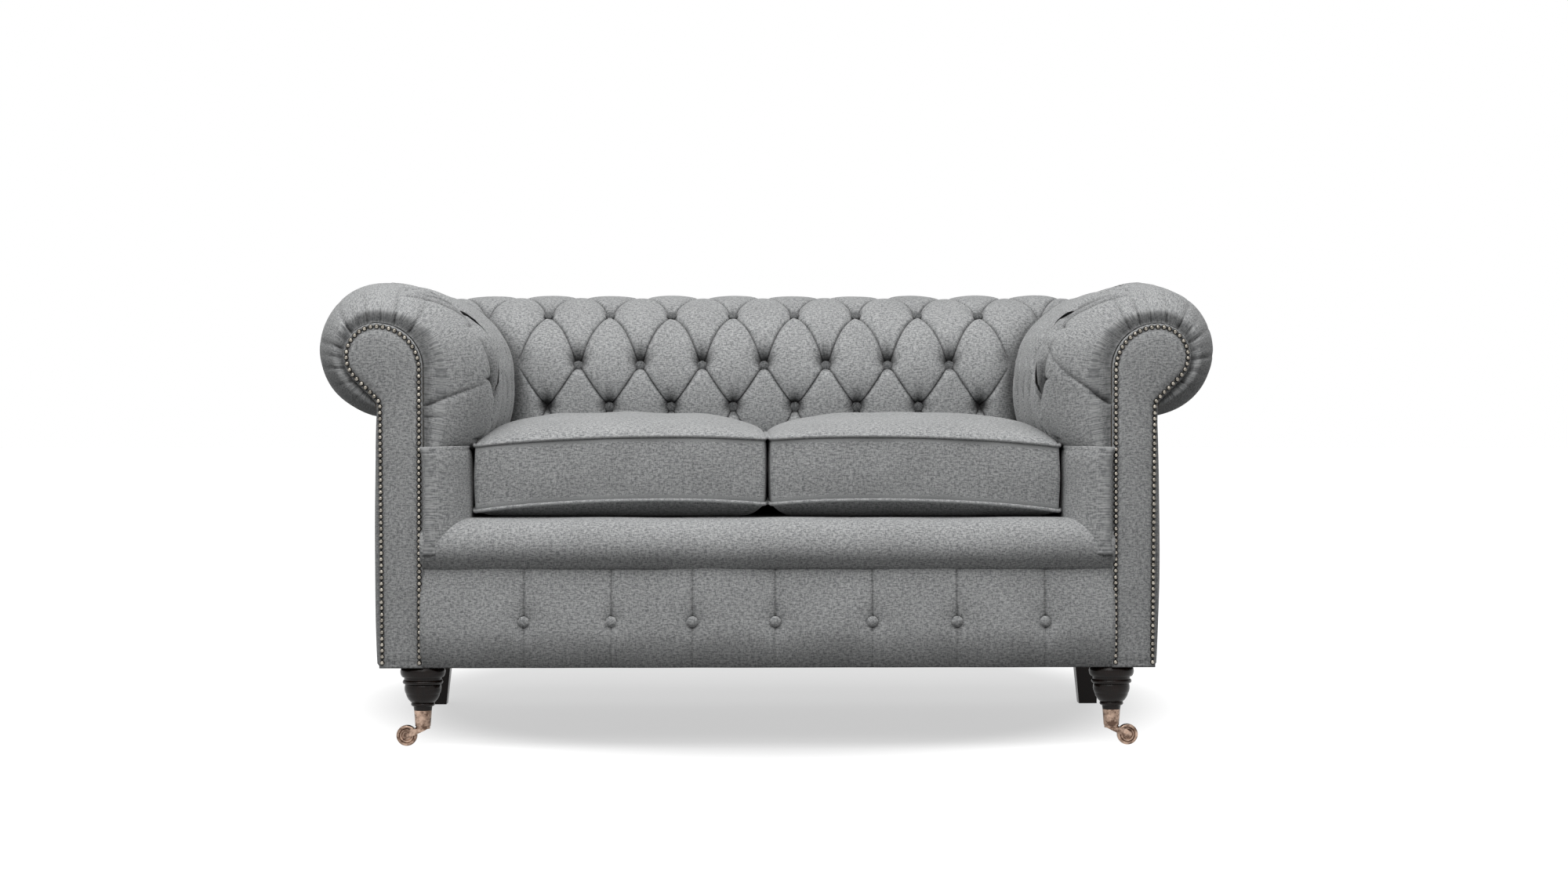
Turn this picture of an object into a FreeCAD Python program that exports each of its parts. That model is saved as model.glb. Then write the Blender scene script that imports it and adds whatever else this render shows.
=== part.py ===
import FreeCAD, Part

import math
import os

os.makedirs("parts", exist_ok=True)
V = FreeCAD.Vector

# Chesterfield sofa in millimetres: X to the right, Y to the back, Z up.
# The origin is on the floor under its middle.

# Overall size and main heights
overall_width = 1530.0
overall_depth = 900.0
overall_height = 783.0
base_height = 134.0
panel_height = 166.0
lip_height = 84.0
lower_panel_height = 116.0

# Rolled arms and back, the same section all round
roll_radius = 115.0
bulge_reach = 190.0
bulge_drop = 159.0
seam_reach = 145.0
puff_length = 128.0
lower_puff_length = 78.0

# Deep buttoning
tuft_pitch = 116.0
row_angles = [0.0, 39.0, 80.0, 118.0, 180.0]
button_depth = 20.0
pleat_depth = 6.0
seam_depth = 5.0
tuft_proud = 4.0
corner_margin = 90.0
button_radius = 9.5
button_height = 8.0
button_sink = 3.0
button_rim = 2.5
well_clearance = 0.6
well_length = 60.0

# Arm facings
facing_thickness = 14.0
facing_drop = 72.0
facing_offset = 5.0
facing_crown_radius = 77.0
facing_scroll_radius = 55.0
facing_outer_top = 4.0
facing_outer_bottom = 1.0
facing_fillet = 14.0
facing_edge = 3.0
puff_lap = 4.0

# Timber frame
board = 28.0
post_thickness = 28.0
seat_rail_height = 191.0
top_rail_width = 60.0
top_rail_height = 50.0
top_rail_rise = 22.0
tacking_rail_height = 50.0
brace_height = 80.0
foot_block_thickness = 28.0
foot_block_size = 120.0
stud_bays = 1.5
arm_stud_setback = 380.0

# Suspension and inner layers
spring_wire = 4.0
spring_count = 7
spring_margin = 194.0
spring_waves = 12
spring_swing = 20.0
clip_size = 22.0
clip_lap = 14.0
hessian_thickness = 1.5
webbing_width = 50.0
webbing_thickness = 2.0
webbing_lap = 27.0
arm_strap_count = 4
arm_strap_margin = 125.5
dust_cover_thickness = 2.0
dust_cover_inset = 4.0

# Seat lip, front panel and outside panels
lip_depth = 56.0
lip_bulge = 13.0
lip_bulge_rise = 28.0
lip_shoulder = 26.0
lip_shoulder_out = 5.0
lip_flat = 8.0
panel_thin = 6.0
panel_crown = 6.0
panel_pleats = [-409.0, -263.0, -127.0, 12.0, 175.0, 317.0, 465.0]
panel_button_drop = 88.0
outside_thickness = 8.0

# Seat cushions
cushion_gap = 1.0
cushion_side_gap = 5.0
cushion_front_setback = 55.0
cushion_back_gap = 5.0
cushion_rest = 0.6
cushion_corner = 22.0
cushion_pull = 4.0
cushion_belly = 19.0
cushion_belly_inset = 60.0
cushion_border = 94.0
cushion_border_pull = 3.0
crown_heights = [16.0, 41.0, 57.0, 64.0]
crown_insets = [24.0, 72.0, 132.0, 190.0]
crown_corner_growth = 0.15
cover_thickness = 3.0

# Legs, castors and bolts
front_leg_inset = 68.0
front_leg_setback = 45.0
leg_gap = 0.3
leg_pin_radius = 30.0
collar_radius = 38.0
collar_height = 17.0
collar_round = 3.0
neck_radius = 31.5
neck_height = 5.0
bead_radius = 34.0
bead_height = 7.0
bead_undercut = 1.5
bulb_radius = 31.0
bulb_drop = 37.0
belly_radius = 28.5
belly_drop = 46.0
shoulder_radius = 25.6
shoulder_drop = 53.5
ankle_radius = 19.0
ankle_drop = 61.0
ring_radius = 20.0
ring_height = 6.0
ring_foot = 1.0
castor_height = 60.0
cup_radius = 15.0
cup_foot_radius = 13.0
cup_wall = 2.4
cup_floor = 4.0
wheel_radius = 17.5
wheel_width = 14.0
wheel_offset = 27.0
wheel_edge = 3.0
hub_radius = 7.0
dish_radius = 13.0
dish_depth = 1.8
axle_radius = 3.0
axle_clearance = 0.4
cheek_gap = 1.0
cheek_thickness = 3.0
boss_radius = 6.0
axle_head_radius = 4.5
axle_head_thickness = 1.5
horn_plate_radius = 12.0
horn_plate_thickness = 4.0
horn_clearance = 0.5
horn_root = 8.4
horn_back = 10.2
horn_shoulder = 3.0
horn_drop = 2.0
horn_waist = 18.0
pintle_radius = 4.0
pintle_length = 14.0
pintle_clearance = 0.4
rear_leg_inset = 34.0
rear_leg_setback = 50.0
rear_leg_top = 50.0
rear_leg_foot = 34.0
rear_leg_rake = 22.0
rear_leg_splay = 8.0
bolt_radius = 4.0
bolt_length = 60.0
bolt_grip = 24.0

# Planes and levels that everything is set out from
side_plane = overall_width / 2 - roll_radius
front_plane = -overall_depth / 2
back_plane = overall_depth / 2 - roll_radius
roll_z = overall_height - roll_radius
bulge_z = overall_height - bulge_drop
frame_z = base_height + dust_cover_thickness
lip_z = base_height + panel_height
deck_z = lip_z + lip_height
seam_z = deck_z + lower_panel_height
rail_z = frame_z + seat_rail_height
hessian_z = rail_z + spring_wire
pad_floor_z = hessian_z + hessian_thickness
top_rail_z = roll_z - top_rail_height + top_rail_rise
facing_back = front_plane + facing_thickness
post_back = facing_back + post_thickness
rail_front = facing_back
rail_back = rail_front + board
roof_z = roll_z - roll_radius + 2 * pleat_depth
puff_end = facing_back + puff_length
facing_top = overall_height - facing_drop
frame_depth = facing_crown_radius - facing_offset
inner_x = side_plane - frame_depth
inner_y = back_plane - frame_depth
pad_reach = frame_depth + webbing_thickness
lip_back = rail_front + lip_depth
arm_run_start = puff_end - tuft_pitch / 2
front_leg_place = side_plane - front_leg_inset
rear_leg_place = side_plane - rear_leg_inset
spring_spacing = 2 * (inner_x - spring_margin) / (spring_count - 1)
arm_strap_spacing = (inner_y - post_back - 2 * arm_strap_margin) / (arm_strap_count - 1)
stud_place = stud_bays * spring_spacing
front_leg_y = front_plane + front_leg_setback
rear_leg_y = back_plane - rear_leg_setback
panel_button_z = lip_z - panel_button_drop
seat_half = side_plane - seam_reach
seat_back = back_plane - seam_reach


# Small helpers for solids


def box(x0, x1, y0, y1, z0, z1):
    return Part.makeBox(x1 - x0, y1 - y0, z1 - z0, V(x0, y0, z0))


def outline(start, *moves):
    """A closed wire: a move with one point is a line to it, one with two is an arc through the first."""
    edges = []
    here = start
    for move in moves:
        if len(move) == 2:
            edges.append(Part.Arc(here, move[0], move[1]).toShape())
        else:
            edges.append(Part.LineSegment(here, move[0]).toShape())
        here = move[-1]
    if (here - start).Length > 1e-6:
        edges.append(Part.LineSegment(here, start).toShape())
    return Part.Wire(edges)


def levelling(start, end):
    """Middle point of the arc that climbs from start and is level at end, above it."""
    run = V(start.x - end.x, start.y - end.y, 0)
    drop = end.z - start.z
    radius = (run.Length ** 2 + drop ** 2) / (2 * drop)
    turn = math.asin(run.Length / radius) / 2
    return end + run.normalize() * radius * math.sin(turn) - V(0, 0, radius * (1 - math.cos(turn)))


def prism(wire, vector):
    return Part.Face(wire).extrude(vector)


def mirrored(shape):
    return shape.mirror(V(0, 0, 0), V(1, 0, 0))


def pair(shape):
    return [shape, mirrored(shape)]


def on_left_arm(shape):
    """Moves a shape from the run's own frame (along, outward, up) to the left arm."""
    turned = shape.rotated(V(0, 0, 0), V(0, 0, 1), 90)
    return turned.translated(V(-side_plane, 0, 0))


def on_back(shape):
    return shape.translated(V(0, back_plane, 0))


def save(name, *shapes):
    solids = [solid for shape in shapes for solid in shape.Solids]
    whole = solids[0] if len(solids) == 1 else Part.makeCompound(solids)
    whole.exportStep("parts/" + name + ".step")


def save_pair(name, left):
    save(name + "_left", left)
    save(name + "_right", mirrored(left))


# Section of the rolled arms and back, as points (outward, up) from the frame's outer plane


def profile(angle):
    """The stuffed face, from the top of the roll at 0 over the bulge at 90 to the seam at 180 degrees."""
    turn = math.radians(angle if angle <= 90 else angle - 90)
    if angle <= 90:
        return V(0, -bulge_reach * math.sin(turn), bulge_z + bulge_drop * math.cos(turn))
    return V(
        0,
        -seam_reach - (bulge_reach - seam_reach) * math.cos(turn),
        bulge_z - (bulge_z - seam_z) * math.sin(turn),
    )


def outward(angle):
    along = profile(min(angle + 1, 180)) - profile(max(angle - 1, 0))
    return V(0, along.z, -along.y).normalize() if angle > 0 else V(0, 0, 1)


def row_points():
    """Where the buttons of each row pull the stuffing in to."""
    inner = [profile(angle) - outward(angle) * button_depth for angle in row_angles[1:-1]]
    top = profile(row_angles[0]) - V(0, 0, pleat_depth)
    seam = profile(row_angles[-1]) + V(0, seam_depth, 0)
    return [top] + inner + [seam]


rows = row_points()


def row_lift(row):
    """From a row's button line out to the crown of the tufts between its buttons."""
    if row == 0:
        return V(0, 0, pleat_depth)
    if row == len(rows) - 1:
        return V(0, -seam_depth, 0)
    return outward(row_angles[row]) * (button_depth + tuft_proud)


def tuft_arc(middle, lift, along, width):
    left = middle + V(along - width / 2, 0, 0)
    right = middle + V(along + width / 2, 0, 0)
    return Part.Wire(Part.Arc(left, middle + V(along, 0, 0) + lift, right).toShape())


def half_arc(upper, along):
    """The tuft's section halfway down the facet below a row."""
    middle = (rows[upper] + rows[upper + 1]) / 2
    facet = rows[upper + 1] - rows[upper]
    across = V(0, facet.z, -facet.y).normalize()
    crest = profile((row_angles[upper] + row_angles[upper + 1]) / 2)
    return tuft_arc(middle, across * (crest - middle).dot(across), along, tuft_pitch / 2)


def tuft_faces(row, along):
    """The stuffed diamond between four buttons, or half of one at the top and at the seam."""
    sections = []
    if row > 0:
        sections += [Part.Vertex(rows[row - 1] + V(along, 0, 0)), half_arc(row - 1, along)]
    sections.append(tuft_arc(rows[row], row_lift(row), along, tuft_pitch))
    if row < len(rows) - 1:
        sections += [half_arc(row, along), Part.Vertex(rows[row + 1] + V(along, 0, 0))]
    return Part.makeLoft(sections, False, True).Faces


def end_faces(row, end, inward):
    """Flat halves of a diamond, where a run's last column closes against its end."""
    middle = V(end, 0, 0) + rows[row]
    side = middle + V(inward * tuft_pitch / 2, 0, 0)
    faces = []
    for other in (row - 1, row + 1):
        corner = V(end, 0, 0) + rows[other]
        corners = [middle, corner, (corner + side) / 2, side, middle]
        faces.append(Part.Face(Part.makePolygon(corners)))
    return faces


def end_cap(along):
    low = V(0, 0, roll_z - roll_radius + pleat_depth)
    points = rows + [V(0, -pad_reach, seam_z), V(0, -pad_reach, roof_z), V(0, 0, roof_z), low]
    shift = V(along, 0, 0)
    moves = [(point + shift,) for point in points[1:]]
    outer = V(along, roll_radius - pleat_depth, roll_z)
    return Part.Face(outline(points[0] + shift, *moves, (outer, points[0] + shift)))


def wall(start, end, near, far, arcs=None):
    """A flat face along a run, between two of its long lines; one side may be a chain of arcs instead."""
    if arcs is None:
        arcs = [Part.LineSegment(start + near, end + near).toShape()]
    lines = [
        Part.LineSegment(end + near, end + far).toShape(),
        Part.LineSegment(end + far, start + far).toShape(),
        Part.LineSegment(start + far, start + near).toShape(),
    ]
    return Part.Face(Part.Wire(Part.sortEdges(arcs + lines)[0]))


def tufted_run(start, columns):
    """A buttoned pad on a straight run of whole diamonds, with its pleated outer roll."""
    end = start + columns * tuft_pitch
    evens = [start + column * tuft_pitch for column in range(columns + 1)]
    odds = [even + tuft_pitch / 2 for even in evens[:-1]]
    faces = [end_cap(start), end_cap(end)]
    for row in range(len(rows)):
        for along in (odds if row % 2 == 0 else evens[1:-1]):
            faces += tuft_faces(row, along)
        if row % 2:
            faces += end_faces(row, start, 1) + end_faces(row, end, -1)
    crests = [tuft_arc(rows[0], row_lift(0), along, tuft_pitch) for along in odds]
    axis = V(0, 0, roll_z)
    for crest in crests:
        faces += crest.revolve(axis, V(1, 0, 0), -180).Faces
    first, last = V(start, 0, 0), V(end, 0, 0)
    seam_arcs = [tuft_arc(rows[-1], row_lift(len(rows) - 1), along, tuft_pitch).Edges[0] for along in odds]
    under_arcs = [crest.rotated(axis, V(1, 0, 0), -180).Edges[0] for crest in crests]
    low = V(0, 0, roll_z - roll_radius + pleat_depth)
    seam_back, roof_back, roof = V(0, -pad_reach, seam_z), V(0, -pad_reach, roof_z), V(0, 0, roof_z)
    faces.append(wall(first, last, rows[-1], seam_back, seam_arcs))
    faces.append(wall(first, last, seam_back, roof_back))
    faces.append(wall(first, last, roof_back, roof))
    faces.append(wall(first, last, low, roof, under_arcs))
    skin = Part.makeCompound(faces)
    skin.sewShape()
    solid = Part.Solid(skin.Shells[0])
    if solid.Volume < 0:
        solid.reverse()
    return solid


def beyond_corner(corner):
    """What a run leaves to its neighbour: past the 45 degree joint inside, and past the corner outside."""
    reach = 2 * bulge_reach
    plan = outline(
        V(corner, 0, 0),
        (V(corner - reach, -reach, 0),),
        (V(corner + reach, -reach, 0),),
        (V(corner + reach, reach, 0),),
        (V(corner, reach, 0),),
    )
    return prism(plan, V(0, 0, 2 * overall_height))


# Buttons and their wells


def covered_button(radius, height, place, direction):
    rim, top = V(radius, 0, button_rim), V(0, 0, height)
    section = outline(V(0, 0, 0), (V(radius, 0, 0),), (rim,), (levelling(rim, top), top))
    button = Part.Face(section).revolve(V(0, 0, 0), V(0, 0, 1), 360)
    button.Placement = FreeCAD.Placement(place, FreeCAD.Rotation(V(0, 0, 1), direction))
    return button


def run_buttons(first_even, low, high):
    """Buttons and the wells they sit in, on a run whose even rows start at first_even."""
    buttons, wells = [], []
    for row in range(len(rows) - 1):
        lead = first_even + (tuft_pitch / 2 if row % 2 else 0)
        direction = outward(row_angles[row])
        for step in range(-10, 20):
            along = lead + step * tuft_pitch
            if not low(rows[row].y) + corner_margin < along < high(rows[row].y) - corner_margin:
                continue
            seat = rows[row] + V(along, 0, 0) - direction * button_sink
            buttons.append(covered_button(button_radius, button_height, seat, direction))
            wells.append(Part.makeCylinder(button_radius + well_clearance, well_length, seat, direction))
    return buttons, wells


# Timber frame, with the left pieces drawn and the right ones mirrored


def facing_outline(along, bottom):
    """Scroll shape of an arm's front, in the arm's own frame."""
    crown = V(along, facing_offset, facing_top - facing_crown_radius)
    scroll = V(along, facing_offset, facing_top - facing_scroll_radius)
    slant = math.cos(math.radians(45))
    inner = facing_offset - facing_crown_radius
    out_end = scroll + V(0, slant, -slant) * facing_scroll_radius
    corner = V(along, facing_outer_top, out_end.z - (out_end.y - facing_outer_top))
    half_turn = math.radians(22.5)
    bend = facing_fillet * (1 / math.sin(half_turn) - 1 / math.tan(half_turn))
    return outline(
        V(along, inner, bottom),
        (V(along, inner, crown.z),),
        (crown + V(0, -slant, slant) * facing_crown_radius, V(along, facing_offset, facing_top)),
        (
            scroll + V(0, math.cos(half_turn), math.sin(half_turn)) * facing_scroll_radius,
            out_end,
        ),
        (corner + V(0, slant, slant) * facing_fillet,),
        (
            corner + V(0, math.cos(half_turn), -math.sin(half_turn)) * bend,
            corner - V(0, 0, facing_fillet),
        ),
        (V(along, facing_outer_bottom, bottom),),
    )


def front_post():
    return on_left_arm(prism(facing_outline(facing_back, frame_z), V(post_thickness, 0, 0)))


def timber():
    """Every board of the frame by name; foot blocks are let into what stands over them."""
    outer = -side_plane
    inner = -inner_x
    blocks = pair(box(outer, outer + foot_block_size, rail_front, rail_front + foot_block_size,
                      frame_z, frame_z + foot_block_thickness))
    blocks += pair(box(outer, outer + foot_block_size, back_plane - foot_block_size, back_plane,
                       frame_z, frame_z + foot_block_thickness))
    tacking_z = frame_z + tacking_rail_height
    stud_y = front_plane + arm_stud_setback
    side_tacking = box(outer, outer + board, post_back, inner_y, frame_z, tacking_z)
    back_tacking = box(inner, inner_x, back_plane - board, back_plane, frame_z, tacking_z)
    back_stud = box(-stud_place - board / 2, -stud_place + board / 2, inner_y, back_plane,
                    rail_z, top_rail_z)
    top_rail_top = top_rail_z + top_rail_height
    boards = {
        "front_seat_rail": [box(inner, inner_x, rail_front, rail_back, frame_z, rail_z)],
        "back_seat_rail": [box(inner, inner_x, inner_y, inner_y + board, frame_z, rail_z)],
        "side_seat_rail": [box(inner - board, inner, post_back, inner_y, frame_z, rail_z)],
        "seat_centre_brace": [box(-board / 2, board / 2, rail_back, inner_y,
                                  frame_z, frame_z + brace_height)],
        "front_arm_post": [front_post()],
        "back_post": [box(outer, inner, inner_y, back_plane, frame_z, top_rail_z)],
        "back_top_rail": [box(inner - top_rail_width, inner_x + top_rail_width, inner_y,
                              inner_y + top_rail_width, top_rail_z, top_rail_top)],
        "arm_top_rail": [box(inner - top_rail_width, inner, post_back, inner_y, top_rail_z, top_rail_top)],
        "back_studs": pair(back_stud),
        "arm_studs": pair(box(outer, inner, stud_y, stud_y + board, rail_z, top_rail_z)),
        "base_tacking_rails": pair(side_tacking) + [back_tacking],
    }
    boards = {name: [piece.cut(blocks) for piece in pieces] for name, pieces in boards.items()}
    boards["foot_blocks"] = blocks
    return boards


# Suspension and inner layers


def ribbon(path, width, height):
    """A flat strip of constant width along a bent path, with mitred corners."""
    legs = [(b - a).normalize() for a, b in zip(path, path[1:])]
    normals = [V(-leg.y, leg.x, 0) for leg in legs]
    normals = [normals[0]] + normals + [normals[-1]]
    shifts = [(a + b) * (width / 2 / (1 + a.dot(b))) for a, b in zip(normals, normals[1:])]
    left = [point + shift for point, shift in zip(path, shifts)]
    right = [point - shift for point, shift in zip(path, shifts)]
    corners = left + right[::-1]
    return prism(Part.makePolygon(corners + corners[:1]), V(0, 0, height))


def springs():
    """Sinuous springs, laid flat from the front rail to the back rail."""
    run = rail_front + board / 2
    step = (inner_y + board / 2 - run) / (2 * spring_waves)
    wires = []
    for place in range(spring_count):
        x = (place - (spring_count - 1) / 2) * spring_spacing
        path = []
        for wave in range(2 * spring_waves + 1):
            side = spring_swing if wave % 2 else -spring_swing
            y = run + wave * step
            path += [V(x + side, y, rail_z), V(x - side, y, rail_z)]
        wires.append(ribbon(path, spring_wire, spring_wire))
    return wires


def spring_clips():
    """Folded strips that hold each spring's end bar down on its rail."""
    clips = []
    ends = [(rail_front + board / 2, 1), (inner_y + board / 2, -1)]
    for place in range(spring_count):
        x = (place - (spring_count - 1) / 2) * spring_spacing
        for y, inward in ends:
            near = y - inward * clip_lap / 2
            bend = y - inward * spring_wire / 2
            foot = box(x - clip_size / 2, x + clip_size / 2, min(near, bend), max(near, bend),
                       rail_z, hessian_z)
            clips.append(foot)
    return clips


def webbing():
    """Straps from the seat rails to the top rails, behind the back and the arms."""
    low, high = rail_z - webbing_lap, top_rail_z + webbing_lap
    half = webbing_width / 2
    back = []
    for place in range(spring_count + 1):
        x = (place - spring_count / 2) * spring_spacing
        back.append(box(x - half, x + half, inner_y - webbing_thickness, inner_y, low, high))
    arm = []
    for place in range(arm_strap_count):
        y = (inner_y + post_back) / 2 + (place - (arm_strap_count - 1) / 2) * arm_strap_spacing
        arm.append(box(-inner_x, -inner_x + webbing_thickness, y - half, y + half, low, high))
    return back, arm


# Upholstery


def arm_puff():
    """The rounded front of a buttoned arm, from around the facing back to the full section."""
    scroll_z = facing_top - facing_scroll_radius
    crown_z = facing_top - facing_crown_radius
    scroll = facing_scroll_radius + puff_lap
    crown = facing_crown_radius + puff_lap
    slant = math.cos(math.radians(45))
    low_z = scroll_z - slant * facing_scroll_radius - facing_fillet
    small = [
        V(0, facing_outer_top, low_z - facing_scroll_radius / 2),
        V(0, facing_offset + scroll * slant, scroll_z - scroll * slant),
        V(0, facing_offset + scroll, scroll_z),
        V(0, facing_offset + scroll * slant, scroll_z + scroll * slant),
        V(0, facing_offset, facing_top + puff_lap),
        V(0, facing_offset - crown * slant, crown_z + crown * slant),
        V(0, facing_offset - crown, crown_z),
        V(0, facing_offset - crown - seam_depth / 2, (crown_z + seam_z) / 2),
        V(0, facing_offset - crown, seam_z),
    ]
    full = [
        V(0, 0, roll_z - roll_radius),
        V(0, roll_radius * slant, roll_z - roll_radius * slant),
        V(0, roll_radius, roll_z),
        V(0, roll_radius * slant, roll_z + roll_radius * slant),
        V(0, 0, overall_height),
        profile(45),
        profile(90),
        profile(135),
        profile(180),
    ]
    wires = []
    for turn in (0, 30, 60, 90):
        share = math.sin(math.radians(turn))
        shift = V(facing_back + puff_length * (1 - math.cos(math.radians(turn))), 0, 0)
        points = [a + (b - a) * share + shift for a, b in zip(small, full)]
        behind = [V(0, -pad_reach, seam_z) + shift, V(0, -pad_reach, points[0].z) + shift]
        wires.append(outline(
            points[0],
            (points[1], points[2]),
            (points[3], points[4]),
            (points[5], points[6]),
            (points[7], points[8]),
            (behind[0],),
            (behind[1],),
        ))
    return Part.makeLoft(wires, True, False)


def back_columns():
    return 2 * math.ceil(side_plane / tuft_pitch)


def back_pad():
    columns = back_columns()
    run = tufted_run(-columns / 2 * tuft_pitch, columns)
    cutter = beyond_corner(side_plane)
    return on_back(run.cut([cutter, mirrored(cutter)]))


def arm_pad():
    columns = math.ceil((back_plane - arm_run_start) / tuft_pitch)
    run = tufted_run(arm_run_start, columns)
    reach = 2 * bulge_reach
    front = box(arm_run_start - 1, puff_end, -reach, reach, 0, 2 * overall_height)
    return on_left_arm(run.cut([beyond_corner(back_plane), front]))


def roll_corners():
    """Quarter balls that carry the roll round the two back corners."""
    right = Part.makeSphere(roll_radius, V(side_plane, back_plane, roll_z), V(0, 0, 1), -90, 90, 90)
    return [mirrored(right), right]


def lower_arm():
    slant = math.sin(math.radians(45))
    depth = seam_reach - pad_reach - webbing_thickness
    front = V(facing_back, -pad_reach - webbing_thickness, pad_floor_z)
    end = front + V(lower_puff_length, -depth, 0)
    middle = front + V(lower_puff_length * (1 - slant), -depth * slant, 0)
    plan = outline(
        V(facing_back, -pad_reach, pad_floor_z),
        (front,),
        (middle, end),
        (V(back_plane - seam_reach, -seam_reach, pad_floor_z),),
        (V(back_plane - pad_reach, -pad_reach, pad_floor_z),),
    )
    return on_left_arm(prism(plan, V(0, 0, seam_z - pad_floor_z)))


def lower_back():
    near, far = back_plane - seam_reach, back_plane - pad_reach
    half_near, half_far = side_plane - seam_reach, side_plane - pad_reach
    plan = outline(
        V(-half_near, near, pad_floor_z),
        (V(half_near, near, pad_floor_z),),
        (V(half_far, far, pad_floor_z),),
        (V(-half_far, far, pad_floor_z),),
    )
    return prism(plan, V(0, 0, seam_z - pad_floor_z))


def seat_lip():
    """The rolled front edge of the seat, over the top of the front rail."""
    half = inner_x
    shoulder = V(-half, rail_front - lip_shoulder_out, deck_z - lip_shoulder)
    crown = V(-half, lip_back - lip_flat, deck_z)
    section = outline(
        V(-half, rail_front, lip_z),
        (V(-half, rail_front - lip_bulge, lip_z + lip_bulge_rise), shoulder),
        (levelling(shoulder, crown), crown),
        (V(-half, lip_back, deck_z),),
        (V(-half, lip_back, pad_floor_z),),
        (V(-half, rail_front, pad_floor_z),),
    )
    return prism(section, V(2 * half, 0, 0))


def front_panel():
    """Padded border under the lip, drawn in at each upright pleat."""
    stops = [-inner_x] + panel_pleats + [inner_x]
    low = rail_front - panel_thin
    moves = []
    for left, right in zip(stops, stops[1:]):
        crest = V((left + right) / 2, low - panel_crown, base_height)
        moves.append((crest, V(right, low, base_height)))
    moves += [(V(inner_x, rail_front, base_height),), (V(-inner_x, rail_front, base_height),)]
    plan = outline(V(-inner_x, low, base_height), *moves)
    return prism(plan, V(0, 0, panel_height))


def front_panel_buttons():
    buttons, wells = [], []
    for x in panel_pleats:
        seat = V(x, rail_front - panel_thin + button_sink, panel_button_z)
        buttons.append(covered_button(button_radius, button_height, seat, V(0, -1, 0)))
        wells.append(Part.makeCylinder(button_radius + well_clearance, well_length, seat, V(0, -1, 0)))
    return buttons, wells


def facing():
    solid = prism(facing_outline(front_plane, base_height), V(facing_thickness, 0, 0))
    front = [edge for edge in solid.Edges if edge.BoundBox.XMax < front_plane + 0.01]
    return on_left_arm(solid.makeFillet(facing_edge, front))


def outside_arm():
    outer = -side_plane - outside_thickness
    return box(outer, -side_plane, facing_back, back_plane + outside_thickness, base_height, roll_z)


def outside_back():
    return box(-side_plane, side_plane, back_plane, back_plane + outside_thickness, base_height, roll_z)


def dust_cover():
    sheet = box(-side_plane + dust_cover_inset, side_plane - dust_cover_inset,
                rail_front + dust_cover_inset, back_plane - dust_cover_inset, base_height, frame_z)
    half = rear_leg_top / 2
    holes = pair(Part.makeCylinder(leg_pin_radius, dust_cover_thickness,
                                   V(-front_leg_place, front_leg_y, base_height)))
    holes += pair(box(-rear_leg_place - half, -rear_leg_place + half,
                      rear_leg_y - half, rear_leg_y + half, base_height, frame_z))
    return sheet.cut(holes)


# Seat cushions


def cushion_wire(inset, level, pull):
    """A cushion's outline at one level, its sides drawn in between the corners."""
    x0, x1 = -seat_half + cushion_side_gap + inset, -cushion_gap / 2 - inset
    y0, y1 = front_plane + cushion_front_setback + inset, seat_back - cushion_back_gap - inset
    corner = cushion_corner + inset * crown_corner_growth
    shy = corner * (1 - math.cos(math.radians(45)))
    mid_x, mid_y = (x0 + x1) / 2, (y0 + y1) / 2
    return outline(
        V(x0 + corner, y0, level),
        (V(mid_x, y0 + pull, level), V(x1 - corner, y0, level)),
        (V(x1 - shy, y0 + shy, level), V(x1, y0 + corner, level)),
        (V(x1 - pull, mid_y, level), V(x1, y1 - corner, level)),
        (V(x1 - shy, y1 - shy, level), V(x1 - corner, y1, level)),
        (V(mid_x, y1 - pull, level), V(x0 + corner, y1, level)),
        (V(x0 + shy, y1 - shy, level), V(x0, y1 - corner, level)),
        (V(x0 + pull, mid_y, level), V(x0, y0 + corner, level)),
        (V(x0 + shy, y0 + shy, level), V(x0 + corner, y0, level)),
    )


def cushion(skin):
    """Belly, border and crown of a seat cushion, as seen through a cover of the given thickness."""
    low = deck_z + cushion_rest
    under = low + cushion_belly
    over = under + cushion_border
    pull = cushion_pull
    belly = [cushion_wire(cushion_belly_inset + skin, low + skin, pull), cushion_wire(skin, under, pull)]
    border = [
        cushion_wire(skin, under, pull),
        cushion_wire(skin + cushion_border_pull, (under + over) / 2, pull),
        cushion_wire(skin, over, pull),
    ]
    crown = [cushion_wire(skin, over, pull)]
    for inset, height in zip(crown_insets, crown_heights):
        crown.append(cushion_wire(inset + skin, over + height - skin, pull))
    faces = Part.makeLoft(belly, False, True).Faces
    faces += Part.makeLoft(border, False, False).Faces
    faces += Part.makeLoft(crown, False, False).Faces
    faces += [Part.Face(belly[0]), Part.Face(crown[-1])]
    skin_faces = Part.makeCompound(faces)
    skin_faces.sewShape()
    solid = Part.Solid(skin_faces.Shells[0])
    if solid.Volume < 0:
        solid.reverse()
    return solid


# Legs and castors, drawn under the left front corner


def revolved(section, x, y):
    solid = Part.Face(section).revolve(V(0, 0, 0), V(0, 0, 1), 360)
    return solid.translated(V(x, y, 0))


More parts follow.
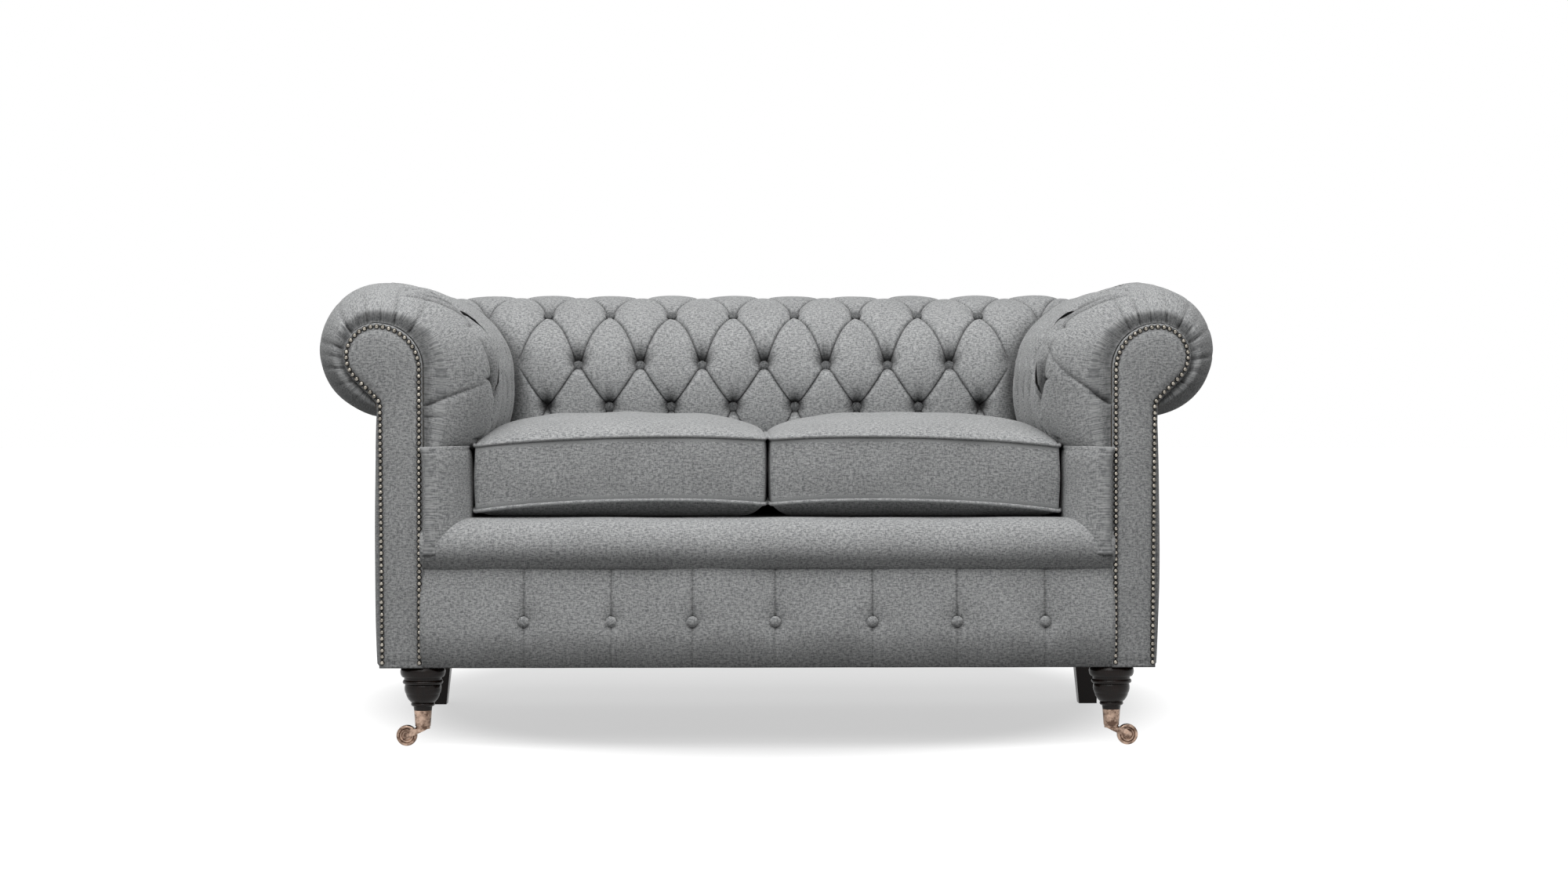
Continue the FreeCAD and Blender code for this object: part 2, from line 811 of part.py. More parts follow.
def turned_leg():
    """Front leg: collar, neck, bead, a bulb that tapers to the ankle, and a ring over the castor cup."""
    top = base_height - leg_gap
    under_collar = top - collar_height
    under_neck = under_collar - neck_height
    under_bead = under_neck - bead_height
    ankle_z = base_height - ankle_drop
    bulb_z = base_height - bulb_drop
    belly_z = base_height - belly_drop
    under_ring = ankle_z - ring_height
    cup_in = cup_radius - cup_wall
    foot_in = cup_foot_radius - cup_wall
    foot_z = castor_top() + cup_floor
    section = outline(
        V(0, 0, frame_z),
        (V(leg_pin_radius, 0, frame_z),),
        (V(leg_pin_radius, 0, top),),
        (V(collar_radius - collar_round, 0, top),),
        (V(collar_radius, 0, (top + under_collar) / 2), V(collar_radius - collar_round, 0, under_collar)),
        (V(neck_radius, 0, under_collar),),
        (V(neck_radius, 0, under_neck),),
        (V(bead_radius, 0, (under_neck + under_bead) / 2), V(neck_radius, 0, under_bead)),
        (V(bulb_radius - bead_undercut, 0, under_bead),),
        (V(bulb_radius, 0, bulb_z), V(belly_radius, 0, belly_z)),
        (V(shoulder_radius, 0, base_height - shoulder_drop), V(ankle_radius, 0, ankle_z)),
        (V(ring_radius, 0, (ankle_z + under_ring) / 2), V(cup_radius + ring_foot, 0, under_ring)),
        (V(cup_radius, 0, castor_height),),
        (V(cup_in, 0, castor_height),),
        (V(foot_in, 0, foot_z),),
        (V(0, 0, foot_z),),
    )
    return revolved(section, -front_leg_place, front_leg_y)


def castor_top():
    """Underside of the cup, just over the horn's plate."""
    return 2 * wheel_radius - horn_plate_thickness / 2 + horn_clearance


def castor_cup():
    low = castor_top()
    cup_in = cup_radius - cup_wall
    foot_in = cup_foot_radius - cup_wall
    section = outline(
        V(0, 0, low),
        (V(cup_foot_radius, 0, low),),
        (V(cup_radius, 0, castor_height),),
        (V(cup_in, 0, castor_height),),
        (V(foot_in, 0, low + cup_floor),),
        (V(0, 0, low + cup_floor),),
    )
    return revolved(section, -front_leg_place, front_leg_y)


def pintle_bore():
    base = V(-front_leg_place, front_leg_y, castor_top())
    return Part.makeCylinder(pintle_radius + pintle_clearance, pintle_length + pintle_clearance, base)


def castor_horn():
    """Curved fork that carries the wheel outboard of the upright pin."""
    plate_z = castor_top() - horn_clearance - horn_plate_thickness
    plate = Part.makeCylinder(horn_plate_radius, horn_plate_thickness, V(0, 0, plate_z))
    pin = Part.makeCylinder(pintle_radius, pintle_length, V(0, 0, plate_z + horn_plate_thickness))
    out = -wheel_offset
    side = wheel_width / 2 + cheek_gap
    level = horn_drop / boss_radius
    boss_side = V(out + boss_radius * math.sqrt(1 - level ** 2), 0, wheel_radius - horn_drop)
    cheek = outline(
        V(horn_root, 0, plate_z),
        (V(-horn_back, 0, plate_z),),
        (V(out + horn_shoulder, 0, plate_z - horn_drop), V(out - boss_radius, 0, wheel_radius)),
        (V(out, 0, wheel_radius - boss_radius), boss_side),
        (V(out + horn_waist, 0, wheel_radius + horn_shoulder), V(horn_root, 0, plate_z)),
    )
    horn = plate.fuse(pin)
    for low in (side, -side - cheek_thickness):
        horn = horn.fuse(prism(cheek, V(0, cheek_thickness, 0)).translated(V(0, low, 0)))
    horn = horn.removeSplitter().translated(V(-front_leg_place, front_leg_y, 0))
    return horn.cut(axle_pin())


def axle_place(y):
    return V(-front_leg_place - wheel_offset, front_leg_y + y, wheel_radius)


def axle_pin():
    side = wheel_width / 2 + cheek_gap + cheek_thickness
    return Part.makeCylinder(axle_radius, 2 * side, axle_place(-side), V(0, 1, 0))


def castor_axle():
    side = wheel_width / 2 + cheek_gap + cheek_thickness
    pin = axle_pin()
    for low in (side, -side - axle_head_thickness):
        head = Part.makeCylinder(axle_head_radius, axle_head_thickness, axle_place(low), V(0, 1, 0))
        pin = pin.fuse(head)
    return pin.removeSplitter()


def castor_wheel():
    half = wheel_width / 2
    bore = axle_radius + axle_clearance
    edge = wheel_radius - wheel_edge
    shy = wheel_edge * (1 - math.cos(math.radians(45)))
    section = outline(
        V(bore, -half, 0),
        (V(hub_radius, -half, 0),),
        (V(hub_radius + dish_depth, dish_depth - half, 0),),
        (V(dish_radius - dish_depth, dish_depth - half, 0),),
        (V(dish_radius, -half, 0),),
        (V(edge, -half, 0),),
        (V(wheel_radius - shy, shy - half, 0), V(wheel_radius, wheel_edge - half, 0)),
        (V(wheel_radius, half - wheel_edge, 0),),
        (V(wheel_radius - shy, half - shy, 0), V(edge, half, 0)),
        (V(dish_radius, half, 0),),
        (V(dish_radius - dish_depth, half - dish_depth, 0),),
        (V(hub_radius + dish_depth, half - dish_depth, 0),),
        (V(hub_radius, half, 0),),
        (V(bore, half, 0),),
    )
    wheel = Part.Face(section).revolve(V(0, 0, 0), V(0, 1, 0), 360)
    return wheel.translated(axle_place(0))


def rear_leg():
    """Plain square leg, tapered, raked to the back and splayed to the side."""
    def square(half, level, splay, rake):
        x, y = -rear_leg_place - splay, rear_leg_y + rake
        corners = [V(x - half, y - half, level), V(x + half, y - half, level),
                   V(x + half, y + half, level), V(x - half, y + half, level)]
        return Part.makePolygon(corners + corners[:1])

    head = box(-rear_leg_place - rear_leg_top / 2, -rear_leg_place + rear_leg_top / 2,
               rear_leg_y - rear_leg_top / 2, rear_leg_y + rear_leg_top / 2, base_height, frame_z)
    shank = Part.makeLoft([square(rear_leg_top / 2, base_height, 0, 0),
                           square(rear_leg_foot / 2, 0, rear_leg_splay, rear_leg_rake)], True, True)
    return head.fuse(shank).removeSplitter()


def leg_bolts():
    low = frame_z + bolt_grip - bolt_length
    front = Part.makeCylinder(bolt_radius, bolt_length, V(-front_leg_place, front_leg_y, low))
    rear = Part.makeCylinder(bolt_radius, bolt_length, V(-rear_leg_place, rear_leg_y, low))
    return pair(front) + pair(rear)


# Everything together


def save_frame(boards, bolts):
    sided = ("side_seat_rail", "front_arm_post", "back_post", "arm_top_rail")
    for name, pieces in boards.items():
        if name in sided:
            save_pair(name, pieces[0])
        elif name == "foot_blocks":
            save(name, *[block.cut(bolts) for block in pieces])
        else:
            save(name, *pieces)


def save_suspension(back_webbing, arm_webbing):
    save("seat_springs", *springs())
    save("spring_clips", *[clip.cut(springs()) for clip in spring_clips()])
    save("seat_hessian", box(-inner_x + webbing_thickness, inner_x - webbing_thickness, rail_front,
                             inner_y - webbing_thickness, hessian_z, pad_floor_z))
    save("back_webbing", *back_webbing)
    save("arm_webbing", *[half for strap in arm_webbing for half in pair(strap)])
    save("dust_cover", dust_cover())


def save_buttoned_covers(boards, back_webbing, arm_webbing):
    """Back, arms and corners, each cut round what it wraps, then the panels outside them."""
    arm_rail = boards["arm_top_rail"][0]
    back_rail = boards["back_top_rail"][0]
    back_post = boards["back_post"][0]
    front_post_left = boards["front_arm_post"][0]

    buttons, wells = run_buttons(0.0, lambda u: -side_plane - u, lambda u: side_plane + u)
    save("back_buttons", *[on_back(button) for button in buttons])
    timber_behind = boards["back_studs"] + [back_rail] + pair(back_post)
    back = back_pad().cut(back_webbing + timber_behind + [on_back(well) for well in wells])
    save("inside_back_pad", back)

    front_limit = puff_end - corner_margin
    buttons, wells = run_buttons(arm_run_start, lambda u: front_limit, lambda u: back_plane + u)
    save_pair("arm_buttons", Part.makeCompound([on_left_arm(button) for button in buttons]))
    timber_behind = [arm_rail, back_rail, back_post] + boards["arm_studs"]
    arm = arm_pad().cut(arm_webbing + timber_behind + [on_left_arm(well) for well in wells])
    save_pair("arm_pad", arm)
    puff = on_left_arm(arm_puff()).cut([arm_rail, front_post_left] + arm_webbing)
    save_pair("arm_front_puff", puff)
    corners = [ball.cut([back_rail]) for ball in roll_corners()]
    save("roll_corners", *corners)
    save_pair("arm_facing", facing())
    save_pair("outside_arm", outside_arm().cut([arm, puff, corners[0], front_post_left]))
    save("outside_back", outside_back().cut([back]))


def save_seat():
    lower = lower_arm()
    deck = box(-seat_half, seat_half, lip_back, seat_back, pad_floor_z, deck_z)
    save("seat_deck_pad", deck.cut(pair(lower)))
    save_pair("inside_arm_lower", lower)
    save("inside_back_lower", lower_back())
    save("seat_lip", seat_lip().cut(pair(lower)))
    buttons, wells = front_panel_buttons()
    save("front_panel", front_panel().cut(wells))
    save("front_panel_buttons", *buttons)
    foam = cushion(cover_thickness)
    save_pair("cushion_foam", foam)
    save_pair("cushion_cover", cushion(0).cut(foam))


def save_legs(bolts):
    bore = pintle_bore()
    save_pair("front_leg", turned_leg().cut([bore] + bolts))
    save_pair("rear_leg", rear_leg().cut(bolts))
    save("leg_bolts", *bolts)
    save_pair("castor_cup", castor_cup().cut(bore))
    save_pair("castor_horn", castor_horn())
    save_pair("castor_axle", castor_axle())
    save_pair("castor_wheel", castor_wheel())


def main():
    boards = timber()
    bolts = leg_bolts()
    back_webbing, arm_webbing = webbing()
    save_frame(boards, bolts)
    save_suspension(back_webbing, arm_webbing)
    save_buttoned_covers(boards, back_webbing, arm_webbing)
    save_seat()
    save_legs(bolts)


main()
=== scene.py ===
import functools
import math

import bmesh
import bpy
import numpy as np
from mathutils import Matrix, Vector


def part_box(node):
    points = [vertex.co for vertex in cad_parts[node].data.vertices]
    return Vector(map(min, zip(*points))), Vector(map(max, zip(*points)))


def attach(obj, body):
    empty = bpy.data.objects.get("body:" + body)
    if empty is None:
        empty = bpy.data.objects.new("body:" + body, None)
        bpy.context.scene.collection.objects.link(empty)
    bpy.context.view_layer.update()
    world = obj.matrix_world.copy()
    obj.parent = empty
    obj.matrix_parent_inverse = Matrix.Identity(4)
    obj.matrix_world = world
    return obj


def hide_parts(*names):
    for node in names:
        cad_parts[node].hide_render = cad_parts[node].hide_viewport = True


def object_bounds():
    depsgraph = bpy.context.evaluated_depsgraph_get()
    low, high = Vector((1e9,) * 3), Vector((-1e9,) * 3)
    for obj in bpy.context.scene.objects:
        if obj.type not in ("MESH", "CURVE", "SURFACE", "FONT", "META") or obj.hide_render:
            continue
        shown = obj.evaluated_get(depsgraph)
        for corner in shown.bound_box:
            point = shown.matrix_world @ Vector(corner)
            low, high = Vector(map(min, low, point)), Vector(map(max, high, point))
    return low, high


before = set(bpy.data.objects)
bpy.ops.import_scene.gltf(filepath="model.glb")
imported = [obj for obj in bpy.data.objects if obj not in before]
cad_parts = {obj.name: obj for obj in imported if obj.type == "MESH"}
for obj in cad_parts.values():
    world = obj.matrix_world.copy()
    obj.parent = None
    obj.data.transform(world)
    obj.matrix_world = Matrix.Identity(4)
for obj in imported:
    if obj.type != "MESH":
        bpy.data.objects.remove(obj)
cad_low, cad_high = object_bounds()

# Sizes in metres: planes and levels come from the frame, the rest follow the sofa's own section
roll_radius = 0.115
bulge_reach = 0.190
seam_reach = 0.145
bulge_drop = 0.159
side_plane = cad_high.x - roll_radius
back_plane = cad_high.y - roll_radius
overall_height = cad_high.z
roll_z = overall_height - roll_radius
bulge_z = overall_height - bulge_drop
seam_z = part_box("inside_arm_lower_left")[1].z
deck_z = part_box("seat_lip")[1].z
lip_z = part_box("front_panel")[1].z
base_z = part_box("front_panel")[0].z
facing_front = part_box("arm_facing_left")[0].y
facing_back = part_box("arm_facing_left")[1].y
puff_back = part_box("arm_front_puff_left")[1].y
puff_length = puff_back - facing_back
inner_x = -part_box("seat_lip")[0].x
seat_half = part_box("seat_deck_pad")[1].x
seat_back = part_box("seat_deck_pad")[1].y
rail_front = facing_back
cloth_thickness = 0.0015

# Deep buttoning: rows by their angle on the section, columns by an even pitch
tuft_pitch = 0.116
row_angles = [0, 39, 80, 118, 180]
row_dimples = [0.003, 0.005, 0.019, 0.017, 0.0]
row_troughs = [0.003, 0.0050, 0.0115, 0.010, 0.0]
row_creases = [0.0040, 0.0055, 0.0060, 0.0060, 0.0040]
row_seats = [0.0130, 0.0080, 0.0250, 0.0235]
# Painted shade in each row's button pits and the troughs above them
row_pit_shades = [0.2, 0.55, 1.0, 1.0, 0.0]
band_bows = [0.0, 0.08, 0.14, 0.03, 0.02, 0.0]
band_places = [0.0, 0.5, 1.5, 2.5, 3.5, 4.0]
pillow_depth = 0.0075
diamond_span = 0.092
corner_margin = 0.090
corner_crease = 0.014
corner_blend = 0.055
button_radius = 0.0095
button_height = 0.0065

# One pleat, (upper side, lower side), and what a button draws in
fold_widths = (0.0010, 0.0019)
shoulder_widths = (0.006, 0.012)
shoulder_depth = 0.0015
crest_power = 0.31
pit_widths = [0.012, 0.0135, 0.0175, 0.016, 0.01]
pit_power = 2.4
trough_length = 0.055
trough_width = 0.0075
trough_spread = 0.14
trough_sway = 0.08
ripple_count = 9
ripple_depth = 0.0009
ripple_radius = 0.021
ripple_width = 0.010
brow_depths = (0.0040, 0.0012)
brow_width = 0.006
brow_reach = 0.046
unevenness = 0.0011
uneven_size = 0.16

# Arm facing
facing_offset = 0.005
facing_top = overall_height - 0.072
crown_radius = 0.077
scroll_radius = 0.055
crown_z, scroll_z = facing_top - crown_radius, facing_top - scroll_radius
facing_outer = (0.004, 0.001)
facing_fillet = 0.014
nail_inset = 0.0055
nail_pitch = 0.0102
nail_radius = 0.0043
nail_height = 0.0040
nail_end = 0.004
nail_seat = 0.0018

# Plain panels
panel_thickness = 0.003
panel_tuck = 0.012
panel_clearance = 0.001


# Meshes


def mesh_object(name, points, faces, uv=None, hollow=None):
    """A smooth-shaded mesh with, where given, its cloth coordinates and how much painted shade each point
    gets, kept in its hollow attribute.
    """
    mesh = bpy.data.meshes.new(name)
    mesh.from_pydata([tuple(p) for p in points], [], [tuple(int(i) for i in f) for f in faces])
    if uv is not None:
        corners = np.zeros(len(mesh.loops), np.int32)
        mesh.loops.foreach_get("vertex_index", corners)
        layer = mesh.uv_layers.new(name="cloth")
        layer.data.foreach_set("uv", np.asarray(uv, np.float32)[corners].ravel())
    if hollow is not None:
        attribute = mesh.attributes.new("hollow", "FLOAT", "POINT")
        attribute.data.foreach_set("value", np.asarray(hollow, np.float32))
    mesh.polygons.foreach_set("use_smooth", [True] * len(mesh.polygons))
    return place_in_scene(name, mesh)


def place_in_scene(name, data):
    made = bpy.data.objects.new(name, data)
    bpy.context.scene.collection.objects.link(made)
    return made


def stack(*parts):
    return np.stack(parts, axis=-1)


def steps_along(line):
    """Length from a line's first point to each of its points."""
    return np.concatenate([[0], np.cumsum(np.linalg.norm(np.diff(line, axis=0), axis=1))])


def grid_faces(rows, columns, start=0):
    faces = []
    for i in range(rows - 1):
        for j in range(columns - 1):
            a = start + i * columns + j
            b = start + (i + 1) * columns + j
            faces.append((a, a + 1, b + 1, b))
    return faces


def ring_faces(rings, count, start=0, first_cap=True):
    """Quads between rings of points that lie one after the other, and caps over the ends."""
    faces = []
    for a in range(start, start + (rings - 1) * count):
        b = a + 1 if (a - start + 1) % count else a + 1 - count
        faces.append((a, b, b + count, a + count))
    if first_cap:
        faces.append([start + k for k in range(count)][::-1])
    faces.append([start + (rings - 1) * count + k for k in range(count)])
    return faces


def grid_object(name, points, uv, hollow=None):
    """A mesh from a rows x columns array of points."""
    faces = grid_faces(*points.shape[:2])
    flat_painted_shade = None if hollow is None else hollow.ravel()
    return mesh_object(name, points.reshape(-1, 3), faces, uv.reshape(-1, 2), flat_painted_shade)


def grid_places(first, second):
    return np.meshgrid(first, second, indexing="ij")


def grid_panel(name, points, uv, centre, hollow=None):
    """A panel of cloth that looks away from a point inside the sofa."""
    panel = grid_object(name, points, uv, hollow)
    face_outward(panel, centre)
    return thicken(panel, panel_thickness)


def join(name, *things):
    """One object from several, named anew."""
    first = things[0]
    if len(things) > 1:
        with bpy.context.temp_override(active_object=first, selected_editable_objects=list(things)):
            bpy.ops.object.join()
    first.name = name
    first.data.name = name
    return first


def weld(thing, distance=0.00005):
    with_mesh(thing, lambda made: bmesh.ops.remove_doubles(made, verts=made.verts, dist=distance))


def with_mesh(thing, action):
    made = bmesh.new()
    made.from_mesh(thing.data)
    action(made)
    made.to_mesh(thing.data)
    made.free()


def cut_away(thing, point, normal):
    """Takes off what lies beyond a plane, on the side that its normal points to."""
    def cut(made):
        everything = made.verts[:] + made.edges[:] + made.faces[:]
        bmesh.ops.bisect_plane(made, geom=everything, plane_co=point, plane_no=normal, clear_outer=True)
    with_mesh(thing, cut)


def face_outward(thing, centre):
    """Turns a skin's faces so that they look away from a point."""
    def turn(made):
        made.normal_update()
        middle = Vector(centre)
        looks = [(f.calc_center_median() - middle).dot(f.normal) * f.calc_area() for f in made.faces]
        if sum(looks) < 0:
            bmesh.ops.reverse_faces(made, faces=made.faces)
    with_mesh(thing, turn)


def thicken(thing, thickness=cloth_thickness):
    """Gives a skin the thickness of its cloth, on its inner side."""
    solidify = thing.modifiers.new("thickness", "SOLIDIFY")
    solidify.thickness = thickness
    solidify.offset = -1
    return thing


def grid_normals(points):
    down = np.gradient(points, axis=0)
    along = np.gradient(points, axis=1)
    normals = np.cross(down, along)
    return normals / np.maximum(np.linalg.norm(normals, axis=2, keepdims=True), 1e-12)


def waves(points, size, seed, count=14):
    """Gentle random unevenness from -1 to 1, made of sines in fixed random directions."""
    dice = np.random.default_rng(seed)
    directions = dice.normal(size=(count, points.shape[-1]))
    directions *= dice.uniform(0.5, 1.5, (count, 1)) / np.linalg.norm(directions, axis=1, keepdims=True)
    phases = dice.uniform(0, 2 * np.pi, count)
    total = np.sin(points @ directions.T * (2 * np.pi / size) + phases).sum(axis=-1)
    return total / math.sqrt(count)


def smoothstep(x):
    x = np.clip(x, 0, 1)
    return x * x * (3 - 2 * x)


# Section of the rolled arms and back, by v: -2 under the roll, 0 on its top, then the rows, 4 at the seam


def section(v):
    """Outward place and height of the smooth section."""
    v = np.asarray(v, float)
    over = -np.minimum(v, 0) * np.pi / 2
    angle = np.radians(np.interp(v, range(5), row_angles))
    low = angle - np.pi / 2
    lower_out = -seam_reach - (bulge_reach - seam_reach) * np.cos(low)
    inner_out = np.where(low < 0, -bulge_reach * np.sin(angle), lower_out)
    lower_height = bulge_z - (bulge_z - seam_z) * np.sin(low)
    inner_height = np.where(low < 0, bulge_z + bulge_drop * np.cos(angle), lower_height)
    outward = np.where(v < 0, roll_radius * np.sin(over), inner_out)
    return outward, np.where(v < 0, roll_z + roll_radius * np.cos(over), inner_height)


def section_normal(v):
    """The way the smooth section looks, as (outward, up)."""
    step = 0.01
    u0, z0 = section(np.maximum(v - step, -2))
    u1, z1 = section(np.minimum(v + step, 4))
    length = np.hypot(u1 - u0, z1 - z0)
    return (z1 - z0) / length, -(u1 - u0) / length


section_steps = np.linspace(-2, 4, 601)
section_runs = np.concatenate([[0], np.cumsum(np.hypot(*np.diff(section(section_steps))))])


def run_of(v):
    """Length of cloth round the section, up to v."""
    return np.interp(v, section_steps, section_runs)


def lattice_shares(a, v):
    """How far a point lies across its diamond, along the two directions of the pleats."""
    drop = np.maximum(v, 0)
    first, second = a + drop / 2, a - drop / 2
    return first - np.floor(first + 1e-9), second - np.floor(second + 1e-9)


def crease(share, upper_first):
    """A pleat's sharp fold and its soft shoulder, both 1 in the fold and steeper on its upper side."""
    gap = np.minimum(share, 1 - share) * diamond_span
    upper = (share < 0.5) == upper_first
    return np.exp(-gap / np.where(upper, *fold_widths)), np.exp(-gap / np.where(upper, *shoulder_widths))


def by_row(v, values):
    """A row's value, and a blend between rows."""
    return np.interp(np.maximum(v, 0), range(5), values)


def tuft_depth(a, v, seed, first_column=-99):
    """How far the cloth is drawn in below the smooth section at lattice place a, v, and how shaded it is."""
    first, second = lattice_shares(a, v)
    sharp_1, soft_1 = crease(first, False)
    sharp_2, soft_2 = crease(second, True)
    sharp = np.minimum(sharp_1 + sharp_2, 1.2)
    crest = np.clip(16 * first * (1 - first) * second * (1 - second), 0, 1) ** crest_power
    depth = by_row(v, row_creases) * sharp + shoulder_depth * (soft_1 + soft_2) + pillow_depth * (1 - crest)
    row = np.clip(np.round(np.maximum(v, 0)), 0, 3)
    column = np.round(a - row % 2 / 2) + row % 2 / 2
    across = (a - column) * tuft_pitch
    up = run_of(row) - run_of(v)
    reach = np.hypot(across, up * np.where(up > 0, 0.8, 1.1))
    buttoned = column > first_column
    pit = buttoned * np.exp(-(reach / by_row(row, pit_widths)) ** pit_power)
    fade = buttoned * np.clip(1 - up / trough_length, 0, 1) ** 1.6 * smoothstep((up + 0.008) / 0.016)
    sway = trough_sway * np.sin(column * 2.7 + row * 1.9 + seed) * np.maximum(up, 0)
    width = trough_width + trough_spread * np.maximum(up, 0)
    trough = fade * np.exp(-((across - sway) / width) ** 2)
    turn = np.arctan2(up, across)
    phase = np.sin(column * 12.9898 + row * 78.233 + seed) * 43758.5453
    ripple = np.cos(ripple_count * turn + phase) * np.exp(-((reach - ripple_radius) / ripple_width) ** 2)
    depth = depth + by_row(row, row_dimples) * pit + by_row(row, row_troughs) * trough
    depth = depth + ripple_depth * ripple * (row > 0) * buttoned
    brow = np.exp(-np.abs(up) / brow_width) * np.clip(1 - np.abs(across) / brow_reach, 0, 1) ** 1.1
    depth = depth + np.where(row == 2, *brow_depths) * brow * (row > 0) * buttoned
    places = stack(a * tuft_pitch, run_of(v))
    dark = by_row(row, row_pit_shades)
    # Painted shade along the pleat folds, in the button pits and in the troughs above them
    shade = 0.68 * np.minimum(sharp, 1) ** 1.6 + dark * pit ** 1.4 + 0.8 * dark * trough ** 1.3
    return depth + unevenness * waves(places, uneven_size, seed), np.clip(shade, 0, 1)


def bowed(v, first, second):
    """Pleats arch upward between their buttons."""
    swell = 4 * first * (1 - first) + 4 * second * (1 - second)
    return np.where(v > 0, v - np.interp(v, band_places, band_bows) * swell, v)


def tufted_lattice(low, high, roll_steps=26):
    """Places and faces of a run of diamonds between two columns, closely spaced by the pleats."""
    half = np.array([0, 0.008, 0.018, 0.032, 0.055, 0.09, 0.14, 0.20, 0.27, 0.35, 0.43])
    ring = np.concatenate([half, [0.5], 1 - half[::-1]])
    places, faces = [], []
    for second in range(math.floor(low) - 4, math.ceil(high) + 4):
        for first in range(second, second + 5):
            f, g = grid_places(ring, ring)
            a, v = (first + f + second + g) / 2, first - second + f - g
            good = (a > low - 1e-6) & (a < high + 1e-6) & (v > -1e-6) & (v < 4 + 1e-6)
            if not good.any():
                continue
            start = sum(len(p) for p in places)
            places.append(stack(a, np.clip(v, 0, 4)).reshape(-1, 2))
            keep = good.ravel()
            for quad in grid_faces(len(ring), len(ring)):
                kept = [start + i for i in quad if keep[i]]
                if len(kept) > 2:
                    faces.append(kept)
    start = sum(len(p) for p in places)
    start_columns = range(math.floor(low), math.ceil(high))
    columns = [column + f for column in start_columns for f in ring[:-1]] + [math.ceil(high)]
    columns = np.array([c for c in columns if low - 1e-6 < c < high + 1e-6])
    levels = np.linspace(-2, 0, roll_steps + 1)
    a, v = grid_places(columns, levels)
    places.append(stack(a, v).reshape(-1, 2))
    faces += grid_faces(len(columns), len(levels), start)
    return np.concatenate(places), faces


def tufted_points(places, origin, limit, seed, front=None):
    """Points (along, outward, up) of a buttoned run; limit says where its ends fall."""
    a, v = places[:, 0], places[:, 1]
    first, second = lattice_shares(a, v)
    inside = (v > 0) & (v < 4)
    bent = np.where(inside, bowed(v, first, second), v)
    along = origin + a * tuft_pitch
    outward, height = section(bent)
    depth, shade = tuft_depth(a, v, seed, -99 if front is None else 0.4)
    room = limit(np.minimum(outward, 0)) - along
    if front is None:
        room = np.minimum(room, limit(np.minimum(outward, 0)) + along)
    near = np.clip(1 - room / corner_blend, 0, 1) ** 2
    corner_depth = corner_crease * smoothstep(bent / 0.6 + 0.2)
    depth = depth * (1 - near) + corner_depth * near
    # Painted shade in the crease near each corner
    shade = shade * (1 - near) + 0.8 * near ** 2 * smoothstep(bent / 0.6 + 0.2)
    normal_out, normal_up = section_normal(bent)
    points = stack(along, outward - normal_out * depth, height - normal_up * depth)
    uv = stack(along, run_of(bent))
    return points, uv, shade


def arm_world(points, side):
    """Room places of an arm's (along, outward, up)."""
    return stack(side * (side_plane + points[..., 1]), points[..., 0], points[..., 2])


def back_world(points):
    """Room places of the back's (along, outward, up)."""
    return stack(points[..., 0], back_plane + points[..., 1], points[..., 2])


# Buttons


def button_mesh(places, directions, seed):
    """Covered buttons: a domed cap gathered under its rim, each one turned at random."""
    dice = np.random.default_rng(seed)
    rings = [(0.0, 1.0), (0.30, 0.97), (0.58, 0.86), (0.80, 0.68)]
    rings += [(0.94, 0.44), (1.0, 0.18), (0.96, -0.15), (0.8, -0.4)]
    sides = 24
    points, faces, uv = [], [], []
    for place, direction in zip(places, directions):
        axis = Vector(direction).normalized()
        turned = axis.to_track_quat("Z", "Y")
        spin = dice.uniform(0, 2 * math.pi)
        start = len(points)
        for r, h in rings:
            for k in range(sides):
                angle = 2 * math.pi * k / sides
                reach = button_radius * r * (1 + 0.035 * math.sin(7 * angle + spin) * r ** 3)
                local = Vector((reach * math.cos(angle), reach * math.sin(angle), button_height * h))
                points.append(Vector(place) + turned @ local)
                uv.append((local.x * math.cos(spin) - local.y * math.sin(spin) + place[0],
                           local.x * math.sin(spin) + local.y * math.cos(spin) + place[2]))
        faces += ring_faces(len(rings), sides, start, first_cap=False)
    return points, faces, uv


def run_button_seats(low, high, limit, origin, front_margin):
    """Where a run's buttons sit and which way they look, both as (along, outward, up)."""
    seats = []
    for row, depth in enumerate(row_seats):
        u, z = (float(x) for x in section(row))
        out, up = (float(x) for x in section_normal(np.array(float(row))))
        for column in np.arange(math.floor(low) - 1 + row % 2 / 2, high + 1, 1.0):
            along = origin + column * tuft_pitch
            if front_margin(u) < along < limit(min(u, 0)) - corner_margin:
                seats.append(((along, u - out * depth, z - up * depth), (0.0, out, up)))
    return seats


def run_buttons(name, seats, to_world, seed):
    world = [to_world(np.array(place)) for place, _ in seats]
    looks = [to_world(np.array(way)) - to_world(np.zeros(3)) for _, way in seats]
    points, faces, uv = button_mesh(world, looks, seed)
    return mesh_object(name, points, faces, uv)


# Tufted covers


def back_cover():
    limit = lambda u: side_plane + u
    reach = math.ceil(side_plane / tuft_pitch)
    places, faces = tufted_lattice(-reach, reach)
    points, uv, hollow = tufted_points(places, 0.0, limit, 3)
    cover = mesh_object("back_cover", back_world(points), faces, uv, hollow)
    weld(cover)
    for side in (-1, 1):
        corner = (side * side_plane, back_plane, 0)
        cut_away(cover, corner, (side, 0, 0))
        cut_away(cover, corner, (side, -1, 0))
    face_outward(cover, (0, back_plane, roll_z))
    thicken(cover)
    seats = run_button_seats(-reach, reach, limit, 0.0, lambda u: -side_plane - min(u, 0) + corner_margin)
    return cover, run_buttons("back_cover_buttons", seats, back_world, 11)


arm_origin = puff_back - tuft_pitch / 2


